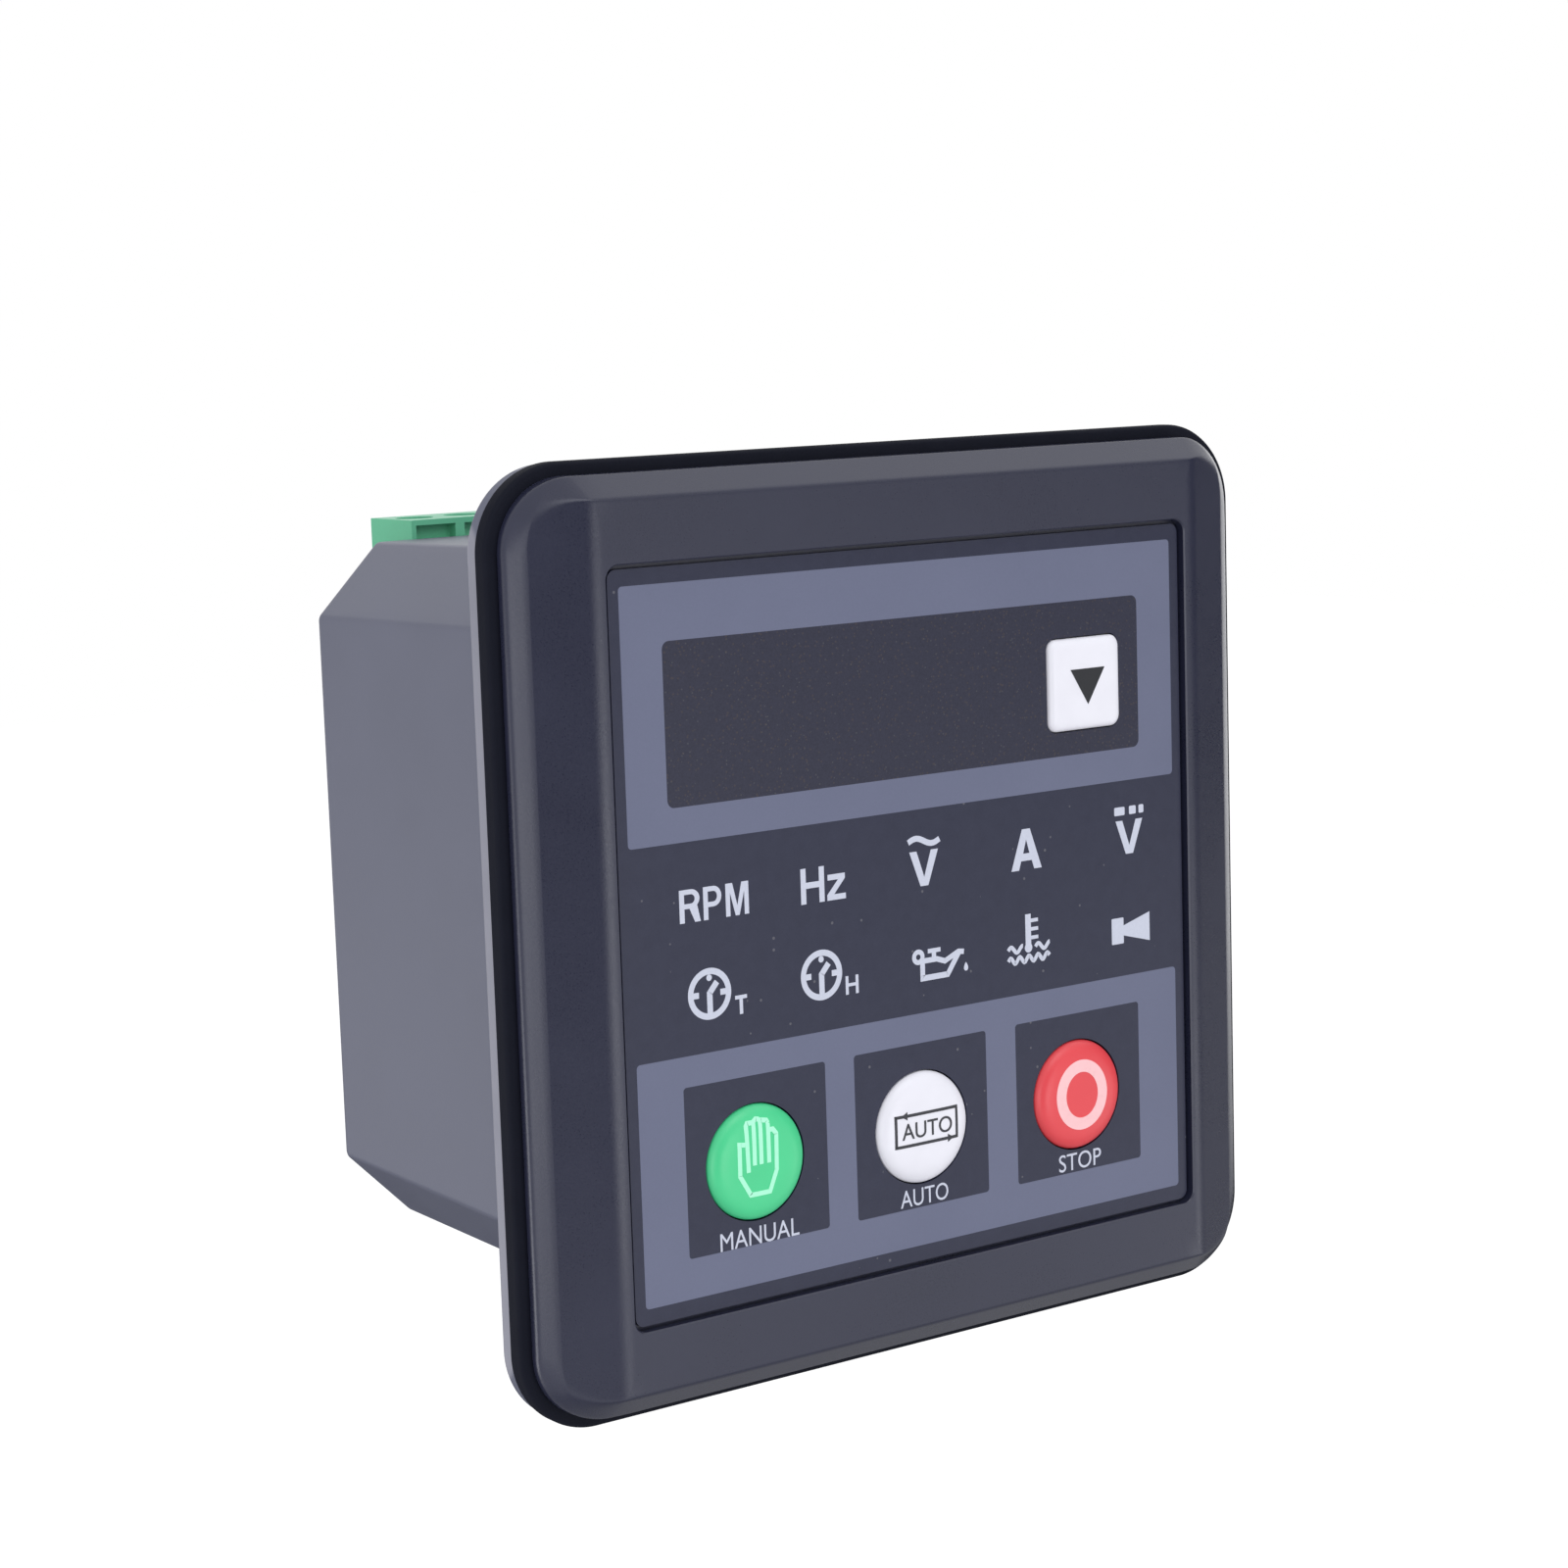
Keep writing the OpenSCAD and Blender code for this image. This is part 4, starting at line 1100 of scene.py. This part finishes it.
class Paint(Tree):
    """A material under construction."""

    def __init__(self, name):
        self.material = bpy.data.materials.new(name)
        self.material.use_nodes = True
        super().__init__(self.material.node_tree)
        self.shader = next(node for node in self.tree.nodes if node.type == "BSDF_PRINCIPLED")

    def place(self):
        """The part's own coordinates, in metres."""
        return self.node("ShaderNodeTexCoord", output="Object")

    def noise(self, size_mm, detail=2.0, vector=None):
        """Soft noise whose lumps are about size_mm across."""
        inputs = {"Vector": vector or self.place(), "Scale": 1 / (size_mm * MM), "Detail": detail}
        return self.node("ShaderNodeTexNoise", {}, inputs)

    def speckle(self, size_mm, share):
        """One on scattered round specks of about size_mm, and nothing elsewhere."""
        cells = self.node("ShaderNodeTexVoronoi", {}, {"Vector": self.place(), "Scale": 1 / (size_mm * MM)})
        return 1.0 - cells.above(share)

    def rim(self, start_mm, width_mm):
        """Nothing inside a square round the Y axis whose half width is start_mm, rising to one over the next
        width_mm."""
        x, z = (self.node("ShaderNodeSeparateXYZ", {}, {"Vector": self.place()}, output) for output in "XZ")
        reach = self.math("MAXIMUM", self.math("ABSOLUTE", x), self.math("ABSOLUTE", z))
        ends = {"From Min": start_mm * MM, "From Max": (start_mm + width_mm) * MM}
        return self.node("ShaderNodeMapRange", {}, {"Value": reach, **ends})

    def mixed(self, share, first, second):
        """A colour between first and second."""
        inputs = {MIX_SHARE: share, MIX_FIRST: first, MIX_SECOND: second}
        return self.node("ShaderNodeMix", {"data_type": "RGBA"}, inputs, MIX_RESULT)

    def grain(self, height, depth_mm, strength):
        """A bump of the given height pattern."""
        inputs = {"Strength": strength, "Distance": depth_mm * MM, "Height": height}
        return self.node("ShaderNodeBump", {}, inputs)

    def set(self, **sockets):
        """Feeds the shader's own sockets, named in lower case with underscores."""
        known = {socket.name.lower().replace(" ", "_"): socket for socket in self.shader.inputs}
        for name, value in sockets.items():
            self.feed(known[name], value)
        return self.material


def shades(colour, spread):
    """A darker and a lighter shade of a colour."""
    colour = np.array(colour)
    return tuple(colour * (1 - spread)), tuple(colour * (1 + spread))


@cache
def moulded(name, colour, roughness, grain_mm, strength, spread, highlight_mm=None):
    """Moulded plastic: spark-eroded grain, faint clouding and a sheen that varies a little. Further out than
    the given rim distance a paler colour is painted on as a highlight, made uneven by the clouding."""
    paint = Paint(name)
    cloud = paint.noise(size_mm=9.0, detail=3.0)
    fine = paint.noise(grain_mm)
    dark, light = shades(colour, spread)
    base = paint.mixed(0.6 * cloud + 0.4 * fine, dark, light)
    # Painted highlight: a paler colour past the rim, made uneven by the clouding
    if highlight_mm:
        wear = paint.rim(highlight_mm, RIM_HIGHLIGHT_FADE) * (0.6 + 0.8 * cloud)
        base = paint.mixed(wear, base, RIM_HIGHLIGHT_COLOUR)
    return paint.set(
        base_color=base,
        roughness=fine.about(roughness, 0.14) + 0.08 * (cloud - 0.5),
        normal=paint.grain(fine, depth_mm=0.02, strength=strength),
        specular_tint=COOL_SHEEN,
    )


def bezel_plastic():
    """Dark plastic of the front."""
    return moulded("bezel_plastic", (0.018, 0.02, 0.042), roughness=0.3, grain_mm=0.16, strength=0.3,
                   spread=0.22)


def housing_plastic():
    """Grey plastic of the housing, with a painted highlight along the flange's rim."""
    return moulded("housing_plastic", (0.128, 0.135, 0.186), roughness=0.42, grain_mm=0.2, strength=0.3,
                   spread=0.14, highlight_mm=RIM_HIGHLIGHT_START)


def terminal_plastic():
    """Green plastic of plugs and headers."""
    return moulded("terminal_plastic", (0.13, 0.5, 0.3), roughness=0.38, grain_mm=0.25, strength=0.2,
                   spread=0.12)


@cache
def overlay_film():
    """Printed polycarbonate film: black, with the fine stipple of its matt front and a few pale specks."""
    paint = Paint("overlay_film")
    stipple = paint.noise(size_mm=0.16)
    cloud = paint.noise(size_mm=1.3, detail=4.0)
    dust = paint.speckle(size_mm=1.4, share=0.09) * paint.noise(size_mm=2.2).above(0.56)
    base = paint.mixed(0.45 * stipple + 0.55 * cloud, (0.004, 0.006, 0.026), (0.02, 0.023, 0.052))
    return paint.set(
        base_color=paint.mixed(0.7 * dust, base, (0.12, 0.12, 0.14)),
        roughness=stipple.about(0.34, 0.16),
        normal=paint.grain(stipple, depth_mm=0.012, strength=0.4),
        specular_tint=COOL_SHEEN,
        specular_ior_level=0.42,
    )


@cache
def field_ink():
    """Blue-grey ink under the film's stipple."""
    paint = Paint("field_ink")
    stipple = paint.noise(size_mm=0.13)
    cloud = paint.noise(size_mm=8.0)
    return paint.set(
        base_color=paint.mixed(0.5 * stipple + 0.5 * cloud, (0.1, 0.113, 0.19), (0.132, 0.147, 0.236)),
        roughness=stipple.about(0.46, 0.14),
        normal=paint.grain(stipple, depth_mm=0.012, strength=0.35),
    )


@cache
def window_film():
    """Tinted window: brown-black, with dense pale and rusty specks."""
    paint = Paint("window_film")
    stipple = paint.noise(size_mm=0.16, detail=3.0)
    rust = paint.speckle(size_mm=0.42, share=0.22)
    pale = paint.speckle(size_mm=0.6, share=0.12)
    base = paint.mixed(stipple, (0.004, 0.005, 0.02), (0.02, 0.021, 0.046))
    warm = paint.mixed(0.5 * rust, base, (0.05, 0.034, 0.03))
    return paint.set(
        base_color=paint.mixed(0.4 * pale, warm, (0.08, 0.076, 0.08)),
        roughness=stipple.about(0.36, 0.18),
        normal=paint.grain(stipple, depth_mm=0.014, strength=0.45),
        specular_tint=COOL_SHEEN,
        specular_ior_level=0.42,
    )


@cache
def white_ink():
    """White ink of labels and symbols, with the film's stipple."""
    paint = Paint("white_ink")
    stipple = paint.noise(size_mm=0.13)
    return paint.set(
        base_color=paint.mixed(stipple, (0.51, 0.54, 0.66), (0.6, 0.63, 0.75)),
        roughness=stipple.about(0.5, 0.1),
        normal=paint.grain(stipple, depth_mm=0.01, strength=0.25),
    )


@cache
def key_ink(name, colour):
    """Ink printed on a key."""
    paint = Paint(name)
    wear = paint.noise(size_mm=0.4, detail=3.0)
    return paint.set(
        base_color=paint.mixed(wear, *shades(colour, spread=0.06)),
        roughness=wear.about(0.45, 0.1),
        specular_ior_level=0.3,
    )


@cache
def key_plastic(name, colour):
    """Smooth key plastic with a soft sheen and hardly any clouding."""
    paint = Paint(name)
    cloud = paint.noise(size_mm=3.0, detail=3.0)
    fine = paint.noise(size_mm=0.12)
    return paint.set(
        base_color=paint.mixed(cloud, *shades(colour, spread=0.05)),
        roughness=fine.about(0.34, 0.1),
        normal=paint.grain(fine, depth_mm=0.006, strength=0.2),
    )


@cache
def rubber():
    """Matt black sealing rubber with a bloom of pale dust."""
    paint = Paint("gasket_rubber")
    bloom = paint.noise(size_mm=2.5, detail=4.0)
    pores = paint.noise(size_mm=0.12)
    return paint.set(
        base_color=paint.mixed(bloom, (0.002, 0.003, 0.009), (0.005, 0.006, 0.014)),
        roughness=pores.about(0.72, 0.16),
        normal=paint.grain(pores, depth_mm=0.02, strength=0.4),
        specular_ior_level=0.15,
    )


@cache
def metal(name, colour, roughness):
    """Plated metal with fine drawn lines along Y."""
    paint = Paint(name)
    along = paint.node("ShaderNodeMapping", {}, {"Vector": paint.place(), "Scale": (1.0, 0.06, 1.0)})
    lines = paint.noise(size_mm=0.08, detail=3.0, vector=along)
    stain = paint.noise(size_mm=1.5, detail=3.0)
    return paint.set(
        base_color=paint.mixed(0.5 * lines + 0.5 * stain, *shades(colour, spread=0.12)),
        metallic=1.0,
        roughness=lines.about(roughness, 0.2),
        normal=paint.grain(lines, depth_mm=0.004, strength=0.3),
    )


@cache
def circuit_board():
    """Green lacquer over copper tracks, which show as a slightly paler grid."""
    paint = Paint("circuit_board")
    grid = {"Vector": paint.place(), "Scale": 160.0, "Mortar Size": 0.03}
    greens = {"Color1": (0.010, 0.085, 0.035), "Color2": (0.012, 0.1, 0.042), "Mortar": (0.02, 0.16, 0.07)}
    fine = paint.noise(size_mm=0.3)
    return paint.set(
        base_color=paint.node("ShaderNodeTexBrick", {}, {**grid, **greens}),
        roughness=fine.about(0.35, 0.1),
        normal=paint.grain(fine, depth_mm=0.01, strength=0.2),
    )


def dress_cad_nodes():
    """Finishes for the CAD nodes that show as they are."""
    finishes = {
        "circuit_board": circuit_board(),
        "terminal_plastic": terminal_plastic(),
        "pin_metal": metal("pin_metal", (0.74, 0.66, 0.45), roughness=0.3),
        "screw_steel": metal("screw_steel", (0.6, 0.6, 0.62), roughness=0.34),
        "spacer_brass": metal("spacer_brass", (0.72, 0.54, 0.24), roughness=0.32),
        "switch_case": metal("switch_case", (0.5, 0.5, 0.52), roughness=0.4),
        "black_plastic": moulded("black_plastic", (0.014, 0.014, 0.016), roughness=0.45, grain_mm=0.2,
                                 strength=0.3, spread=0.2),
        "capacitor_can": moulded("capacitor_can", (0.03, 0.035, 0.09), roughness=0.3, grain_mm=0.3,
                                 strength=0.1, spread=0.1),
        "display_case": moulded("display_case", (0.15, 0.15, 0.16), roughness=0.5, grain_mm=0.2,
                                strength=0.3, spread=0.1),
        "lamp_plastic": moulded("lamp_plastic", (0.66, 0.52, 0.5), roughness=0.2, grain_mm=0.3,
                                strength=0.05, spread=0.06),
    }
    for node, piece in nodes.items():
        finish = finishes.get(slot_of(node))
        if finish and not piece.hide_render:
            piece.data.materials.clear()
            piece.data.materials.append(finish)


# Stage, light and camera


def camera():
    """The photograph's view: a heading from +Y towards +X, a pitch, and a roll that dips the right side."""
    data = bpy.data.cameras.new("view")
    data.lens, data.sensor_width, data.shift_y = CAMERA_LENS, CAMERA_SENSOR, CAMERA_SHIFT_Y
    data.clip_start, data.clip_end = CAMERA_NEAR, CAMERA_FAR
    seen = bpy.data.objects.new("view", data)
    bpy.context.scene.collection.objects.link(seen)
    level_right = Vector((math.cos(CAMERA_HEADING), -math.sin(CAMERA_HEADING), 0))
    level_ahead = Vector((math.sin(CAMERA_HEADING), math.cos(CAMERA_HEADING), 0))
    ahead = math.cos(CAMERA_PITCH) * level_ahead + Vector((0, 0, math.sin(CAMERA_PITCH)))
    level_up = level_right.cross(ahead)
    right = math.cos(CAMERA_ROLL) * level_right - math.sin(CAMERA_ROLL) * level_up
    up = math.cos(CAMERA_ROLL) * level_up + math.sin(CAMERA_ROLL) * level_right
    turn = Matrix((right, up, -ahead)).transposed().to_4x4()
    seen.matrix_world = Matrix.Translation(CAMERA_PLACE) @ turn
    bpy.context.scene.camera = seen


def softbox(name, place, aim, size, radiance):
    """A square lamp of the given brightness that faces its aim: its power is pi times its area times that."""
    data = bpy.data.lights.new(name, "AREA")
    data.energy, data.size = math.pi * size * size * radiance, size
    lamp = bpy.data.objects.new(name, data)
    bpy.context.scene.collection.objects.link(lamp)
    lamp.location = place
    lamp.rotation_mode = "QUATERNION"
    lamp.rotation_quaternion = (Vector(aim) - Vector(place)).to_track_quat("-Z", "Y")


def stage_sheet(name, corners, material):
    """A flat sheet of the stage."""
    mesh = bpy.data.meshes.new(name)
    mesh.from_pydata(corners, [], [(0, 1, 2, 3)])
    mesh.materials.append(material)
    sheet = bpy.data.objects.new(name, mesh)
    bpy.context.scene.collection.objects.link(sheet)
    return sheet


def reflected_sheet(name, corners, shade):
    """A matt grey sheet out of the picture that shows in reflections only."""
    grey = Paint(name).set(base_color=(shade, shade, shade), roughness=MATT, specular_ior_level=0.0)
    sheet = stage_sheet(name, corners, grey)
    sheet.visible_camera = sheet.visible_diffuse = sheet.visible_shadow = False


def lying(x0, x1, y0, y1, z):
    """Corners of a level sheet."""
    return [(x0, y0, z), (x1, y0, z), (x1, y1, z), (x0, y1, z)]


def upright(start, end, low, high):
    """Corners of an upright sheet between two bearings, SCREEN_REACH away from the part."""
    (x0, y0), (x1, y1) = ((SCREEN_REACH * math.sin(bearing), -SCREEN_REACH * math.cos(bearing))
                          for bearing in (math.radians(start), math.radians(end)))
    return [(x0, y0, low), (x1, y1, low), (x1, y1, high), (x0, y0, high)]


def seen_directly(tree):
    """One for rays from the camera, off a shiny face or through a clear one, and nothing for the rest."""
    rays = [tree.node("ShaderNodeLightPath", output=name)
            for name in ("Is Camera Ray", "Is Glossy Ray", "Is Transmission Ray")]
    return tree.node("ShaderNodeClamp", {}, {"Value": rays[0] + rays[1] + rays[2]})


def surround():
    """A white world that lights the part a little less than it shows."""
    world = bpy.data.worlds.new("surround")
    bpy.context.scene.world = world
    world.use_nodes = True
    sky = Tree(world.node_tree)
    background = next(node for node in sky.tree.nodes if node.type == "BACKGROUND")
    sky.feed(background.inputs["Strength"], WORLD_LIGHT + (1.0 - WORLD_LIGHT) * seen_directly(sky))
    sky.feed(background.inputs["Color"], (1.0, 1.0, 1.0))


def stage():
    """A pale floor below the part, which hangs as if from its panel, with screens, cards and soft lamps."""
    floor = Paint("floor_white")
    floor.set(
        base_color=FLOOR_COLOUR,
        roughness=MATT,
        specular_ior_level=0.0,
        emission_strength=1.0,
        emission_color=floor.mixed(seen_directly(floor), (0, 0, 0), FLOOR_GLOW),
    )
    corners = lying(-FLOOR_HALF, FLOOR_HALF, -FLOOR_HALF, FLOOR_HALF, cad_low[2] - FLOOR_DROP)
    stage_sheet("floor", corners, floor.material)
    for name, (*place, shade) in SCREENS.items():
        reflected_sheet(name, upright(*place), shade)
    for name, (*place, shade) in CARDS.items():
        reflected_sheet(name, lying(*place, cad_low[2] - CARD_DROP), shade)
    surround()
    for name, lamp in LAMPS.items():
        softbox(name, *lamp)


def build():
    """The dressed part on its stage."""
    camera()
    bezel_piece()
    overlay_piece()
    gasket_piece()
    housing_piece()
    keys()
    fields()
    symbols()
    key_prints()
    for plug in ("upper_plug", "lower_plug"):
        dressed_copy(plug + "_body", plug, terminal_plastic(), PLUG_EDGE)
    dress_cad_nodes()
    stage()


build()
bpy.context.scene.view_settings.view_transform = "Standard"
